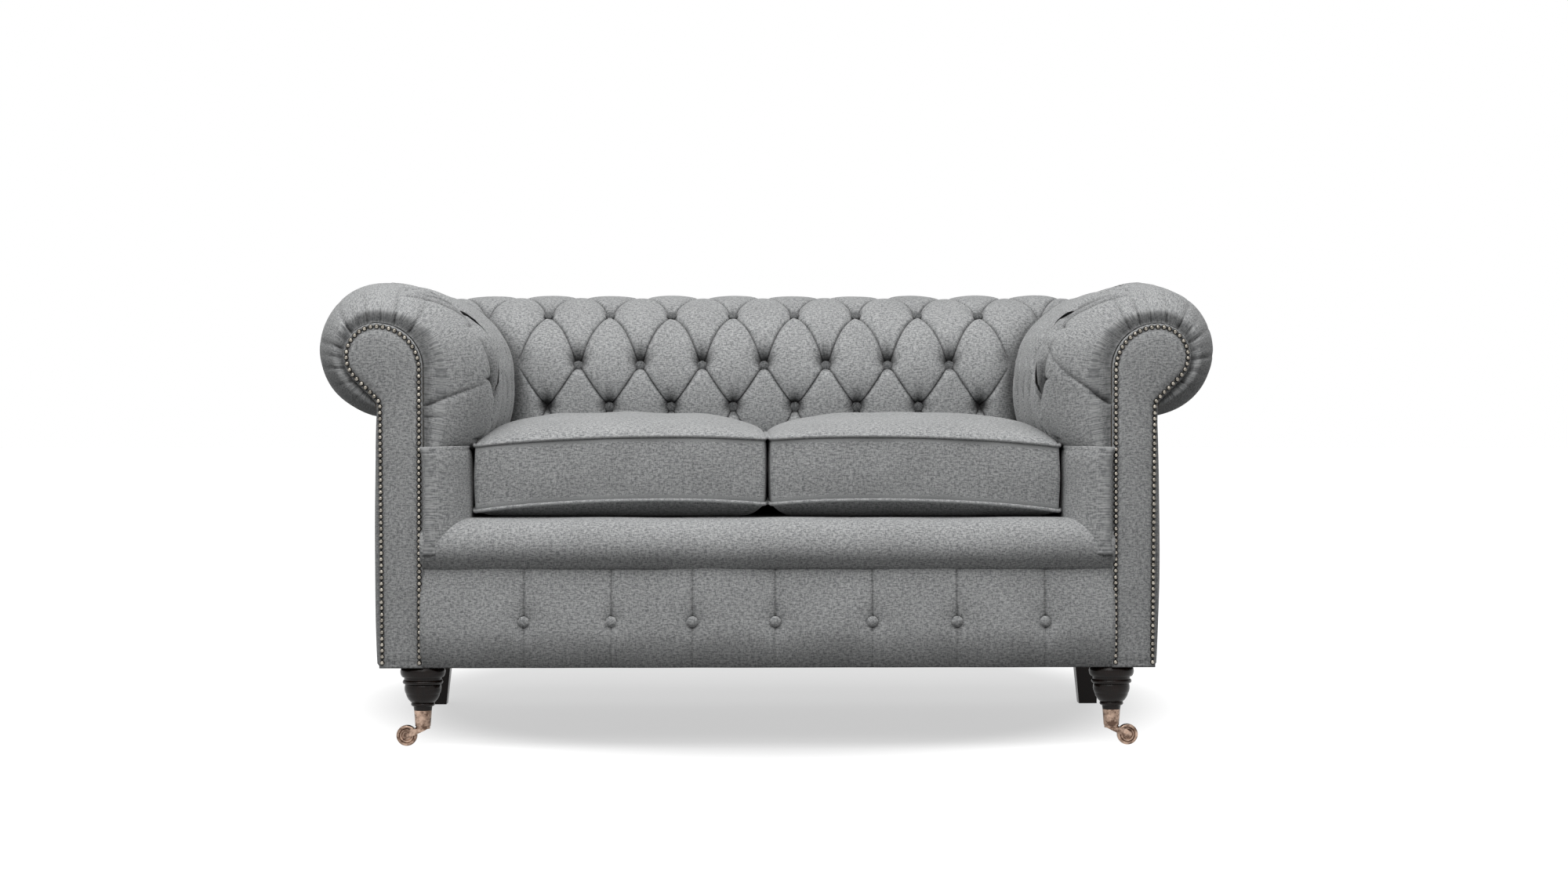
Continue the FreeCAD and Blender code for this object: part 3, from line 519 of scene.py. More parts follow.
def small_section(v):
    """The arm's front outline just behind the facing, matched to the full section by v."""
    v = np.asarray(v, float)
    lap = 0.003
    crown, scroll = crown_radius + lap, scroll_radius + lap
    bulge_v = float(np.interp(90, row_angles, range(5)))
    turn = np.pi / 2 * np.clip(v / bulge_v, 0, 1)
    down = np.clip((v - bulge_v) / (4 - bulge_v), 0, 1)
    inner_u = facing_offset - crown * np.sin(turn)
    inner_z = crown_z + crown * np.cos(turn) - down * (crown_z - seam_z)
    over = np.clip(-v, 0, 1) * np.pi / 2
    under = np.clip(-v - 1, 0, 1)
    diagonal = np.clip((under - 0.45) / 0.55, 0, 1)
    sweep = over + np.clip(under / 0.45, 0, 1) * np.pi / 4
    length = (scroll * math.sqrt(0.5) + facing_offset - facing_outer[0] - lap) * math.sqrt(2)
    outer_u = facing_offset + scroll * np.sin(sweep) - diagonal * length * math.sqrt(0.5)
    outer_z = scroll_z + scroll * np.cos(sweep) - diagonal * length * math.sqrt(0.5)
    top_shift = (crown_z + crown) - (scroll_z + scroll)
    return np.where(v > 0, inner_u, outer_u), np.where(v > 0, inner_z, outer_z + top_shift)


# An arm's rounded front: how far it tucks in behind the facing, stands forward and is measured across
puff_tuck = 0.12
puff_fullness = 1.45
puff_arc = 0.115


def pleat_marks(share, levels, pleats):
    """Depth and shade of the pleats that run from the scroll across the puff."""
    depth, shade = 0, 0
    for start, end, length, deep, width in pleats:
        line = start + (end - start) * np.clip(share / length, 0, 1)
        gap = np.abs(run_of(levels)[None, :] - run_of(line))
        fade = np.clip(1 - share / length, 0, 1) ** 0.7 * smoothstep(share / 0.03 + 0.5)
        sharp = fade * np.exp(-gap / (0.4 * width))
        depth = depth + deep * (0.5 * sharp + 0.5 * fade * np.exp(-(gap / width) ** 1.1))
        shade = shade + 0.6 * sharp * deep / 0.005
    return depth, shade


def fold_marks(share, levels, folds):
    """Depth and shade of the slack folds that hang round the puff."""
    depth, shade = 0, 0
    for start, start_share, end, end_share, deep in folds:
        t = (levels - start) / (end - start)
        line = start_share + (end_share - start_share) * np.sin(np.pi / 2 * np.clip(t, 0, 1))
        gap = (share - line[None, :]) * puff_arc
        along = np.clip(4 * t * (1 - t), 0, 1) ** 0.6
        sharp = along * np.exp(-np.abs(gap) / np.where(gap > 0, 0.0035, 0.0016))
        depth = depth + deep * (0.6 * sharp + 0.4 * along * np.exp(-(gap / 0.008) ** 2))
        shade = shade + 0.75 * sharp
    return depth, shade


def arm_puff_grid(levels, pleats, folds, seed):
    """An arm's rounded front: rows from the facing back to the first buttons, columns round the section."""
    turns = np.concatenate([[-0.08, -0.03], np.linspace(0, 1, 60)])
    theta = np.clip(turns, 0, 1) * np.pi / 2
    share = np.sin(theta)[:, None]
    small_u, small_z = small_section(levels)
    arched = np.where((levels > 0) & (levels < 4), bowed(levels, *lattice_shares(0.5, levels)), levels)
    full_u, full_z = section(arched)
    tucked = np.minimum(turns, 0)[:, None]
    u = small_u + (full_u - small_u) * share
    z = small_z + (full_z - small_z) * share
    u = u + tucked * puff_tuck * (small_u - facing_offset)
    z = z + tucked * puff_tuck * (small_z - crown_z)
    lowness = np.interp(levels, [-2, -1.2, -0.5, 4], [0.15, 0.6, 1, 0.9])[None, :]
    fullness = puff_fullness * smoothstep(share / 0.36) * (1 - share) ** 1.1
    forward = (facing_back - facing_front) * lowness * fullness
    y = facing_back + puff_length * (1 - np.cos(theta))[:, None] - forward + tucked * 0.02 + 0 * u
    base = stack(y, u, z)
    normals = grid_normals(base)
    outwardness = normals[..., 1] * (u - facing_offset) + normals[..., 2] * (z - crown_z)
    normals = normals * np.where(outwardness[-1:, :].mean() < 0, -1.0, 1.0)
    a = (y - arm_origin) / tuft_pitch
    reach = smoothstep((share - 0.80) / 0.20)
    depth, shade = tuft_depth(np.maximum(a, 0.2), levels + 0 * u, seed, 0.4)
    depth, shade = depth * reach, shade * reach
    for added_depth, added_shade in (pleat_marks(share, levels, pleats), fold_marks(share, levels, folds)):
        depth, shade = depth + added_depth, shade + added_shade
    uv = stack(y, run_of(levels) + 0 * u)
    depth = depth + 0.0012 * waves(uv, 0.13, seed + 5) * share
    points = base - normals * depth[..., None]
    # Painted shade where the cloth turns in behind the facing
    shade = shade + 0.45 * (1 - smoothstep(share / 0.16)) + 0 * u
    return points, uv, np.clip(shade, 0, 1)


# Pleats round the scroll: start v, end v, share of the puff that each crosses, depth and width
pleats = {"left": [
    (-1.72, -1.66, 0.70, 0.0030, 0.004),
    (-1.45, -1.40, 0.85, 0.0040, 0.004),
    (-1.20, -1.17, 0.95, 0.0048, 0.004),
    (-1.02, -1.04, 0.80, 0.0040, 0.003),
    (-0.86, -0.90, 1.00, 0.0056, 0.004),
    (-0.70, -0.72, 0.60, 0.0034, 0.003),
    (-0.52, -0.50, 1.05, 0.0062, 0.004),
    (-0.34, -0.36, 0.60, 0.0034, 0.003),
    (-0.16, -0.20, 0.95, 0.0052, 0.004),
    (0.10, 0.14, 0.70, 0.0036, 0.004),
    (0.52, 0.30, 1.00, 0.0062, 0.005),
    (1.02, 0.66, 1.10, 0.0052, 0.0045),
    (3.05, 2.42, 0.95, 0.0066, 0.005),
    (3.30, 3.20, 0.40, 0.0030, 0.005),
], "right": [
    (-1.76, -1.68, 0.65, 0.0032, 0.004),
    (-1.46, -1.50, 0.80, 0.0040, 0.004),
    (-1.24, -1.26, 0.90, 0.0044, 0.003),
    (-1.06, -1.04, 1.00, 0.0056, 0.004),
    (-0.90, -0.92, 0.75, 0.0040, 0.003),
    (-0.74, -0.77, 1.00, 0.0054, 0.004),
    (-0.58, -0.58, 0.80, 0.0042, 0.003),
    (-0.40, -0.43, 1.05, 0.0056, 0.004),
    (-0.16, -0.12, 1.05, 0.0056, 0.004),
    (0.18, 0.20, 0.95, 0.0050, 0.004),
    (0.52, 0.42, 1.05, 0.0066, 0.0045),
    (0.86, 0.62, 1.05, 0.0052, 0.0045),
    (3.00, 1.80, 1.10, 0.0078, 0.005),
    (2.92, 2.60, 0.60, 0.0030, 0.006),
]}

# Slack folds across the puff: start v and share, end v and share, depth
folds = {"left": [
    (0.40, 0.70, 1.65, 0.965, 0.0065),
    (1.85, 0.91, 2.75, 0.98, 0.0060),
    (0.55, 0.87, 1.35, 1.0, 0.0045),
], "right": [
    (0.45, 0.73, 1.75, 0.955, 0.0065),
    (1.85, 0.90, 2.95, 0.97, 0.0060),
    (0.65, 0.88, 1.5, 1.0, 0.0045),
    (2.15, 0.96, 2.85, 1.0, 0.0045),
]}


def arm_cover(side, word):
    limit = lambda u: back_plane + u
    seed = 20 if side < 0 else 31
    last = math.ceil((back_plane - arm_origin) / tuft_pitch)
    places, faces = tufted_lattice(0.5, last)
    points, uv, hollow = tufted_points(places, arm_origin, limit, seed, front=True)
    run = mesh_object("arm_run_" + word, arm_world(points, side), faces, uv, hollow)
    edge = np.unique(np.round(places[np.abs(places[:, 0] - 0.5) < 1e-6][:, 1], 6))
    fine = np.linspace(-2, 4, 260)
    levels = np.sort(np.concatenate([edge, [f for f in fine if np.abs(edge - f).min() > 0.012]]))
    points, uv, hollow = arm_puff_grid(levels, pleats[word], folds[word], seed)
    puff = grid_object("arm_front_" + word, arm_world(points, side), uv, hollow)
    cover = join("arm_cover_" + word, run, puff)
    weld(cover, 0.0003)
    corner = (side * side_plane, back_plane, 0)
    cut_away(cover, corner, (0, 1, 0))
    cut_away(cover, corner, (-side, 1, 0))
    face_outward(cover, (side * side_plane, 0, roll_z))
    thicken(cover)
    seats = run_button_seats(0, last, limit, arm_origin, lambda u: puff_back)
    to_world = functools.partial(arm_world, side=side)
    return cover, run_buttons("arm_cover_buttons_" + word, seats, to_world, seed + 1)


def roll_corner(side, word):
    """Quarter ball of cloth, gathered into pleats that fan out from the inner corner."""
    turns = np.linspace(0, 1, 61)
    tilts = np.linspace(0, 1, 49)
    turn, tilt = grid_places(turns, tilts)
    depth = np.zeros_like(turn)
    for place, deep in [(0.0, 0.006), (0.24, 0.0035), (0.5, 0.0045), (0.77, 0.0035), (1.0, 0.006)]:
        gap = np.abs(turn - place) * np.pi / 2 * roll_radius * np.sin(tilt * np.pi)
        depth += deep * np.exp(-(gap / 0.006)) * smoothstep(tilt * 4)
    depth += 0.001 * waves(stack(turn, tilt), 0.5, 60 + side)
    reach = roll_radius - depth
    x = side * (side_plane + reach * np.sin(tilt * np.pi) * np.cos(turn * np.pi / 2))
    y = back_plane + reach * np.sin(tilt * np.pi) * np.sin(turn * np.pi / 2)
    z = roll_z + reach * np.cos(tilt * np.pi)
    uv = stack(turn * 0.18, tilt * 0.36)
    # Painted shade along the pleats, as deep as they are drawn in
    corner = grid_object("corner_cover_" + word, stack(x, y, z), uv, np.clip(depth / 0.02, 0, 1))
    weld(corner, 0.0002)
    face_outward(corner, (side * side_plane, back_plane, roll_z))
    return thicken(corner)


# Facings, nails and plain panels


def arc(centre, radius, start, end, count):
    turns = [math.radians(angle) for angle in np.linspace(start, end, count)]
    return [(centre[0] + radius * math.cos(t), centre[1] + radius * math.sin(t)) for t in turns]


def facing_loop():
    """Scroll outline of the facing as (outward, up) points, from the inner foot round to the outer foot."""
    points = [(facing_offset - crown_radius, z) for z in np.linspace(base_z, crown_z, 60)[:-1]]
    points += arc((facing_offset, crown_z), crown_radius, 180, 90, 36)[:-1]
    points += arc((facing_offset, scroll_z), scroll_radius, 90, -45, 40)
    out_u, out_z = points[-1]
    corner_z = out_z - (out_u - facing_outer[0])
    bend = facing_fillet * math.tan(math.radians(22.5))
    start = (facing_outer[0] + bend * math.sqrt(0.5), corner_z + bend * math.sqrt(0.5))
    for share in np.linspace(0, 1, 9)[1:-1]:
        points.append((out_u + (start[0] - out_u) * share, out_z + (start[1] - out_z) * share))
    centre = (facing_outer[0] + facing_fillet, corner_z - bend)
    points += arc(centre, facing_fillet, 135, 180, 9)
    foot = np.array([facing_outer[1], base_z])
    knee = np.array(points[-1])
    points += [tuple(knee + (foot - knee) * share) for share in np.linspace(0, 1, 60)[1:]]
    return np.array(points)


def inset_loop(loop, distance):
    """The outline moved inward, its foot corners kept square."""
    ahead = np.roll(loop, -1, axis=0) - loop
    ahead /= np.linalg.norm(ahead, axis=1, keepdims=True)
    normals = stack(ahead[:, 1], -ahead[:, 0])
    before = np.roll(normals, 1, axis=0)
    spread = 1 + (normals * before).sum(axis=1, keepdims=True)
    moved = loop + (normals + before) / spread * distance
    rise = loop[:, 1] - base_z
    lifted = loop[:, 1] + distance * (1 - rise / 0.2)
    return stack(moved[:, 0], np.where(rise < 0.2, lifted, moved[:, 1]))


# Rounded edge of the facing and the dip under its nails: (inset, back from its front)
facing_rings = [
    (0.0, 0.005), (0.0010, 0.0030), (0.0030, 0.0018), (0.0055, 0.0020), (0.0085, 0.0016),
    (0.0115, -0.0002), (0.0160, -0.0016), (0.0225, -0.0028),
]


def arm_facing(side, word):
    """Cloth drawn over a thin board, with a soft front that dips under the nails."""
    loop = facing_loop()
    rings = [(0.0, facing_back - 0.001)] + [(inset, facing_front + back) for inset, back in facing_rings]
    points, uv, shade = [], [], []
    for inset, y in rings:
        for u, z in inset_loop(loop, inset):
            points.append((side * (side_plane + u), y, z))
            uv.append((u, z + (y - facing_front)))
            # Painted shade in a band under and between the nails, none at the foot
            under_nails = max(0.0, 1 - abs(inset - nail_inset) / 0.0055)
            shade.append(under_nails * min(1.0, max(0.0, (z - base_z - inset) / 0.003)))
    facing = mesh_object("facing_cover_" + word, points, ring_faces(len(rings), len(loop)), uv, shade)

    def split_caps(made):
        bmesh.ops.triangulate(made, faces=[f for f in made.faces if len(f.verts) > 4])
    with_mesh(facing, split_caps)
    face_outward(facing, (side * side_plane, (facing_front + facing_back) / 2, 0.4))
    return facing


def facing_nails(side, word):
    """A close row of domed nail heads round the facing, except along its foot."""
    dice = np.random.default_rng(50 + side)
    line = inset_loop(facing_loop(), nail_inset)
    steps = steps_along(line)
    count = int(round((steps[-1] - 2 * nail_end) / nail_pitch))
    rings = [(1.0, 0.0), (0.97, 0.25), (0.86, 0.55), (0.66, 0.80), (0.38, 0.95), (0.12, 1.0)]
    sides = 14
    points, faces, shade = [], [], []
    for k in range(count + 1):
        run = nail_end + (steps[-1] - 2 * nail_end) * k / count + dice.normal(0, 0.00025)
        u, z = np.interp(run, steps, line[:, 0]), np.interp(run, steps, line[:, 1])
        lean = dice.normal(0, 0.05, 2)
        start = len(points)
        for r, h in rings:
            for s in range(sides):
                angle = 2 * math.pi * s / sides
                du, dz = nail_radius * r * math.cos(angle), nail_radius * r * math.sin(angle)
                rise = nail_height * h + du * lean[0] + dz * lean[1]
                # Painted shade: each head darkens toward its rim, leaving its centre bright
                shade.append(smoothstep((r - 0.40) / 0.5))
                points.append((side * (side_plane + u + du), facing_front + nail_seat - rise, z + dz))
        faces += ring_faces(len(rings), sides, start)
    nails = mesh_object("facing_nails_" + word, points, faces, hollow=shade)
    with_mesh(nails, lambda made: bmesh.ops.recalc_face_normals(made, faces=made.faces))
    return nails


def outer_panel(name, alongs, seed, to_world):
    """Plain outer panel, drawn tight at its edges: from the base up under the roll."""
    levels = np.linspace(base_z, roll_z - roll_radius + panel_tuck, 70)
    along, z = grid_places(alongs, levels)
    edge = np.minimum(along - alongs[0], alongs[-1] - along)
    rise = (z - levels[0]) / (levels[-1] - levels[0])
    out = 0.0055 * smoothstep(edge / 0.02) + 0.0045 * np.sin(np.pi * rise) ** 0.5
    out += 0.0008 * waves(stack(along, z), 0.25, seed)
    out -= 0.004 * (1 - smoothstep((z - base_z) / 0.006))
    points = to_world(stack(along, panel_clearance + out, z))
    return grid_panel(name, points, stack(along, z), (0, 0, 0.3))


def outside_arm(side, word):
    alongs = np.linspace(facing_back - 0.004, back_plane + 0.008, 110)
    to_world = functools.partial(arm_world, side=side)
    return outer_panel("outside_arm_cover_" + word, alongs, 70 + side, to_world)


def outside_back():
    alongs = np.linspace(-side_plane - 0.006, side_plane + 0.006, 160)
    return outer_panel("outside_back_cover", alongs, 75, back_world)


lower_start = inner_x - 0.003
lower_turn = 0.078
lower_front = facing_back - 0.0265
lower_z = lip_z + 0.024


def inside_arm_lower(side, word):
    """Plain inner panel below the buttoned arm, rounded where it meets the front."""
    turns = np.linspace(0, np.pi / 2, 24)
    depth = lower_start - seat_half
    plan_y = lower_front + (lower_turn + facing_back - lower_front) * (1 - np.cos(turns))
    plan_x = lower_start - depth * np.sin(turns)
    rest = np.linspace(facing_back + lower_turn, seat_back + 0.01, 60)[1:]
    plan_y = np.concatenate([[facing_back], plan_y, rest])
    plan_x = np.concatenate([[lower_start + 0.012], plan_x, np.full(len(rest), seat_half)])
    levels = np.linspace(lower_z, seam_z + 0.005, 40)
    y = np.repeat(plan_y[:, None], len(levels), axis=1)
    z = np.repeat(levels[None, :], len(plan_y), axis=0)
    swell = 0.004 * np.sin(np.pi * np.clip((z - levels[0]) / (seam_z - levels[0]), 0, 1)) ** 0.6
    swell -= 0.003 * np.exp(-np.abs(seam_z - z) / 0.005)
    swell += 0.0010 * waves(stack(y, z), 0.12, 80 + side)
    x = np.repeat(plan_x[:, None], len(levels), axis=1) - swell
    points = stack(side * x, y, z)
    centre = (side * side_plane, 0.1, 0.4)
    return grid_panel("inside_arm_lower_cover_" + word, points, stack(y, z), centre)


def inside_back_lower():
    alongs = np.linspace(-seat_half - 0.01, seat_half + 0.01, 90)
    levels = np.linspace(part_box("inside_back_lower")[0].z, seam_z + 0.001, 30)
    x, z = grid_places(alongs, levels)
    swell = 0.003 * np.sin(np.pi * np.clip((z - levels[0]) / (seam_z - levels[0]), 0, 1)) ** 0.6
    swell -= 0.005 * np.exp(-(seam_z - z) / 0.006)
    points = stack(x, seat_back - swell, z)
    return grid_panel("inside_back_lower_cover", points, stack(x, z), (0, back_plane, 0.4))


# Lip section from its seam with the panel up and back onto the seat: (back, up)
lip_profile = np.array([
    (-0.003, -0.0015), (-0.007, 0.0015), (-0.013, 0.009), (-0.0195, 0.019), (-0.0225, 0.031),
    (-0.0215, 0.043), (-0.0165, 0.056), (-0.0075, 0.068), (0.006, 0.077), (0.022, 0.082),
    (0.040, 0.0840), (0.060, 0.0840), (0.078, 0.0835),
])


def seat_lip():
    """Rolled front edge of the seat: a soft roll that swells out over the panel's seam."""
    steps = steps_along(lip_profile)
    runs = np.linspace(0, steps[-1], 46)
    back, up = (smooth_curve(steps, lip_profile[:, k], runs) for k in (0, 1))
    alongs = np.linspace(-inner_x - 0.004, inner_x + 0.004, 220)
    x, run = grid_places(alongs, runs)
    uneven = 0.0014 * waves(stack(x, run), 0.22, 90)
    y = rail_front + back[None, :] - uneven
    z = lip_z + up[None, :] + 0.6 * uneven
    centre = (0, rail_front + 0.04, lip_z + 0.03)
    return grid_panel("lip_cover", stack(x, y, z), stack(x, run), centre)


def smooth_curve(knots, values, places):
    """Cubic curve through the values, with slopes taken from their neighbours."""
    slopes = np.gradient(values, knots)
    index = np.clip(np.searchsorted(knots, places) - 1, 0, len(knots) - 2)
    width = knots[index + 1] - knots[index]
    t = (places - knots[index]) / width
    return (
        (2 * t ** 3 - 3 * t ** 2 + 1) * values[index]
        + (t ** 3 - 2 * t ** 2 + t) * width * slopes[index]
        + (3 * t ** 2 - 2 * t ** 3) * values[index + 1]
        + (t ** 3 - t ** 2) * width * slopes[index + 1]
    )


panel_pleats = [-0.409, -0.263, -0.127, 0.012, 0.175, 0.317, 0.465]
panel_button_z = 0.212
panel_edge = 0.0035
panel_swell = 0.0205
panel_fullest = 0.36
panel_least = 0.0045
panel_button_out = 0.0165
panel_pleat_depths = [0.0022, 0.0046, 0.0030]
panel_fold_width = 0.0014
panel_shoulder_width = 0.006
panel_dimple_depth = 0.0060
panel_dimple_radius = 0.019
button_rim_shade_width = 0.0022
slack_depth = 0.0016
slack_width = 0.016
slack_length = 0.035


def front_panel():
    """Padded border under the lip, with an upright pleat through each of its buttons."""
    beside = [0.0, 0.0015, 0.003, 0.005, 0.008, 0.012]
    fine = [p + d for p in panel_pleats for d in beside] + [p - d for p in panel_pleats for d in beside[1:]]
    even = np.linspace(-inner_x - 0.004, inner_x + 0.004, 150)
    even = [x for x in even if min(abs(x - p) for p in panel_pleats) > 0.014]
    alongs = np.array(sorted(fine + even))
    levels = np.linspace(base_z, lip_z + 0.004, 76)
    x, z = grid_places(alongs, levels)
    height = np.minimum((z - base_z) / (lip_z - base_z), 1)
    lower = np.clip(1 - (height / panel_fullest - 1) ** 2, 0, 1) ** 0.85
    upper = 1 - (np.clip(height - panel_fullest, 0, 1) / (1 - panel_fullest)) ** 1.5
    out = panel_edge + panel_swell * np.where(height > panel_fullest, upper, lower)
    out = np.maximum(out, panel_least)
    depth, shade = np.zeros_like(x), np.zeros_like(x)
    up = z - panel_button_z
    for place in panel_pleats:
        side = x - place
        deep = np.interp(z, [base_z, panel_button_z, lip_z], panel_pleat_depths)
        sharp = np.exp(-np.abs(side) / panel_fold_width) * np.where(up > 0, 1.0, 0.55)
        depth += deep * (0.6 * sharp + 0.4 * np.exp(-np.abs(side) / panel_shoulder_width))
        # Painted shade along the pleat's fold
        shade += 0.45 * sharp
        depth += panel_dimple_depth * np.exp(-(np.hypot(side, up * 0.8) / panel_dimple_radius) ** 1.5)
        # Painted shade in a ring round the button's rim
        shade += 0.6 * np.exp(-((np.hypot(side, up) - button_radius) / button_rim_shade_width) ** 2)
        above = np.exp(-np.abs(side) / slack_width - np.maximum(up, 0) / slack_length) * (up > 0)
        depth += slack_depth * above
        # Painted shade above the button, heavier on its right side
        shade += 0.28 * above * np.where(side > 0, 1.0, 0.35)
    out = out - depth + 0.0010 * waves(stack(x, z), 0.16, 95)
    points = stack(x, rail_front - out, z)
    panel = grid_panel("front_panel_cover", points, stack(x, z), (0, 0, 0.2), np.clip(shade, 0, 1))
    seats = [(p, rail_front - panel_button_out, panel_button_z) for p in panel_pleats]
    points, faces, uv = button_mesh(seats, [(0, -1, 0)] * len(seats), 97)
    return panel, mesh_object("front_panel_cover_buttons", points, faces, uv)


def seat_deck():
    alongs = np.linspace(-seat_half - 0.008, seat_half + 0.008, 70)
    backs = np.linspace(rail_front + 0.060, seat_back + 0.008, 50)
    x, y = grid_places(alongs, backs)
    z = deck_z + 0.0005 - 0.0012 * smoothstep((y - backs[0]) / 0.03)
    z += 0.0004 * waves(stack(x, y), 0.2, 99)
    return grid_panel("seat_deck_cover", stack(x, y, z), stack(x, y), (0, 0, 0))


# Seat cushions

cushion_top_seam = 0.5115
cushion_bottom_seam = 0.401
cushion_tilt = 0.006
crown_gap = 0.001
corner_shyness = 0.0065
edge_pull = 0.002
border_bulge = 0.0045
border_waist = 0.0012
border_steps = 12
piping_radius = 0.0031
piping_stand = 0.0012


def cushion_skins(low, high, p, q, side, seed):
    """Top and bottom of a cushion at places p, q, which run from -1 to 1 over its length and depth."""
    middle = (low + high) / 2
    half_x, half_y = (high.x - low.x) / 2, (high.y - low.y) / 2
    far_p, far_q = np.abs(p), np.abs(q)
    drawn = corner_shyness * (far_p * far_q) ** 9
    x = middle.x + p * half_x - np.sign(p) * (drawn + edge_pull * (1 - q ** 2) * far_p ** 3)
    y = middle.y + q * half_y - np.sign(q) * (drawn + edge_pull * (1 - p ** 2) * far_q ** 3)
    rise = 0.010 * (1 - far_p ** 2.2) * far_q ** 2 + 0.006 * (1 - far_q ** 2.2) * far_p ** 2
    tilt = -cushion_tilt * p * side
    inward = 1 - np.maximum(far_p, far_q)
    swell = ((1 - far_p ** 3.2) * (1 - far_q ** 2.7)) ** 0.60
    top_seam = cushion_top_seam + rise + tilt
    top = top_seam + (high.z - top_seam - crown_gap) * swell
    top += 0.0022 * waves(stack(x, y), 0.17, seed) * swell
    corner = np.exp(-np.hypot(1 - far_p, 1 - far_q) / 0.22)
    top += 0.0016 * corner * np.sin(60 * (far_p - far_q)) * inward ** 0.5
    bottom_seam = cushion_bottom_seam + rise * 1.2 + tilt
    hollow = (1 - np.clip(inward / 0.20, 0, 1)) ** 2.2
    bottom = bottom_seam + (low.z + 0.0004 - bottom_seam) * (1 - hollow)
    return stack(x, y, top).reshape(-1, 3), stack(x, y, bottom).reshape(-1, 3), inward.ravel()


def cushion(side, word):
    """Boxed cushion with a full crown: top and bottom skins, a border and piping on both seams."""
    seed = 100 + side
    count = 57
    ring = np.linspace(-1, 1, count)
    ring = 0.6 * ring + 0.4 * np.sin(ring * np.pi / 2)
    p, q = grid_places(ring, ring)
    top, bottom, inward = cushion_skins(*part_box("cushion_cover_" + word), p, q, side, seed)
    square = grid_faces(count, count)
    offset = count * count
    faces = square + [tuple(offset + i for i in f[::-1]) for f in square]
    last = count - 1
    border = [i * count for i in range(count)] + [last * count + j for j in range(1, count)]
    border += [i * count + last for i in range(last - 1, -1, -1)] + list(range(last - 1, 0, -1))
    upper, lower = top[border], bottom[border]
    away = stack(p.ravel()[border], q.ravel()[border], np.zeros(len(border)))
    away = np.where(np.abs(np.abs(away) - 1) < 1e-6, away, 0)
    away /= np.linalg.norm(away, axis=1, keepdims=True)
    firmness = np.where(away[:, 1] < -0.5, 1.0, 0.45)[:, None]
    length = steps_along(upper)
    uv = [top[:, :2], top[:, :2] + 3.0]
    bands = []
    for k in range(1, border_steps):
        t = k / border_steps
        bulge = border_bulge * math.sin(math.pi * t) ** 0.7 - border_waist
        wobble = 0.0010 * waves(stack(length, np.full(len(length), t * 0.1)), 0.11, seed + 3)[:, None]
        bands.append(upper + (lower - upper) * t + away * (bulge + wobble) * firmness)
        uv.append(stack(length, np.full(len(length), 5 - t * 0.1)))
    points = np.concatenate([top, bottom] + bands)
    band_starts = [2 * offset + k * len(border) for k in range(border_steps - 1)]
    chain = [np.array(border)] + [start + np.arange(len(border)) for start in band_starts]
    chain.append(offset + np.array(border))
    for a, b in zip(chain, chain[1:]):
        faces += list(zip(a, np.roll(a, -1), np.roll(b, -1), b))
    # Painted shade across the cushion's underside, fading out at its edge
    shade = np.zeros(len(points))
    shade[offset:2 * offset] = 0.55 * smoothstep(inward / 0.04)
    case = mesh_object("cushion_case_" + word, points, faces, np.concatenate(uv), shade)
    with_mesh(case, lambda made: bmesh.ops.recalc_face_normals(made, faces=made.faces))
    pipes = [tube("piping_" + word, seam + away * piping_stand, piping_radius) for seam in (upper, lower)]
    return case, join("cushion_piping_" + word, *pipes)


def tube(name, loop, radius, sides=8):
    """A closed cord of cloth along a loop of points."""
    ahead = np.roll(loop, -1, axis=0) - np.roll(loop, 1, axis=0)
    ahead /= np.linalg.norm(ahead, axis=1, keepdims=True)
    side = np.cross(ahead, [0, 0, 1.0])
    side /= np.linalg.norm(side, axis=1, keepdims=True)
    up = np.cross(side, ahead)
    length = steps_along(loop)
    rows, uv = [], []
    for k in range(sides):
        angle = 2 * math.pi * k / sides
        rows.append(loop + radius * (math.cos(angle) * side + math.sin(angle) * up))
        uv.append(stack(length, np.full(len(loop), radius * angle)))
    points, uv = np.stack(rows), np.stack(uv)
    faces = []
    count = len(loop)
    for k in range(sides):
        n = (k + 1) % sides
        for j in range(count):
            m = (j + 1) % count
            faces.append((k * count + j, k * count + m, n * count + m, n * count + j))
    made = mesh_object(name, points.reshape(-1, 3), faces, uv.reshape(-1, 2))
    with_mesh(made, lambda m: bmesh.ops.recalc_face_normals(m, faces=m.faces))
    return made


# Hidden cloth under the seat


def flat_cloth(name, node_name):
    """A stretched sheet in the place of a frame node, with its flat width and depth."""
    low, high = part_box(node_name)
    alongs = np.linspace(low.x, high.x, 60)
    backs = np.linspace(low.y, high.y, 40)
    x, y = grid_places(alongs, backs)
    sag = 0.0004 * waves(stack(x, y), 0.3, 120)
    made = grid_object(name, stack(x, y, low.z + 0.001 + sag), stack(x, y))
    face_outward(made, (0, 0, 1))
    return thicken(made, 0.0008)


# Materials


def node(tree, kind, inputs=None, **settings):
    made = tree.nodes.new("ShaderNode" + kind)
    for name, value in settings.items():
        setattr(made, name, value)
    for key, value in (inputs or {}).items():
        if isinstance(value, bpy.types.NodeSocket):
            tree.links.new(value, made.inputs[key])
        else:
            made.inputs[key].default_value = value
    return made


def new_material(name, roughness, metallic=0.0):
    material = bpy.data.materials.new(name)
    material.use_nodes = True
    tree = material.node_tree
    tree.nodes.clear()
    shader = node(tree, "BsdfPrincipled", {"Roughness": roughness, "Metallic": metallic})
    node(tree, "OutputMaterial", {0: shader.outputs[0]})
    return material, tree, shader


def math_node(tree, operation, a, b=0.0):
    return node(tree, "Math", {0: a, 1: b}, operation=operation).outputs[0]


def blend(tree, a, share_a, b, share_b):
    first = math_node(tree, "MULTIPLY", a, share_a)
    return math_node(tree, "ADD", first, math_node(tree, "MULTIPLY", b, share_b))


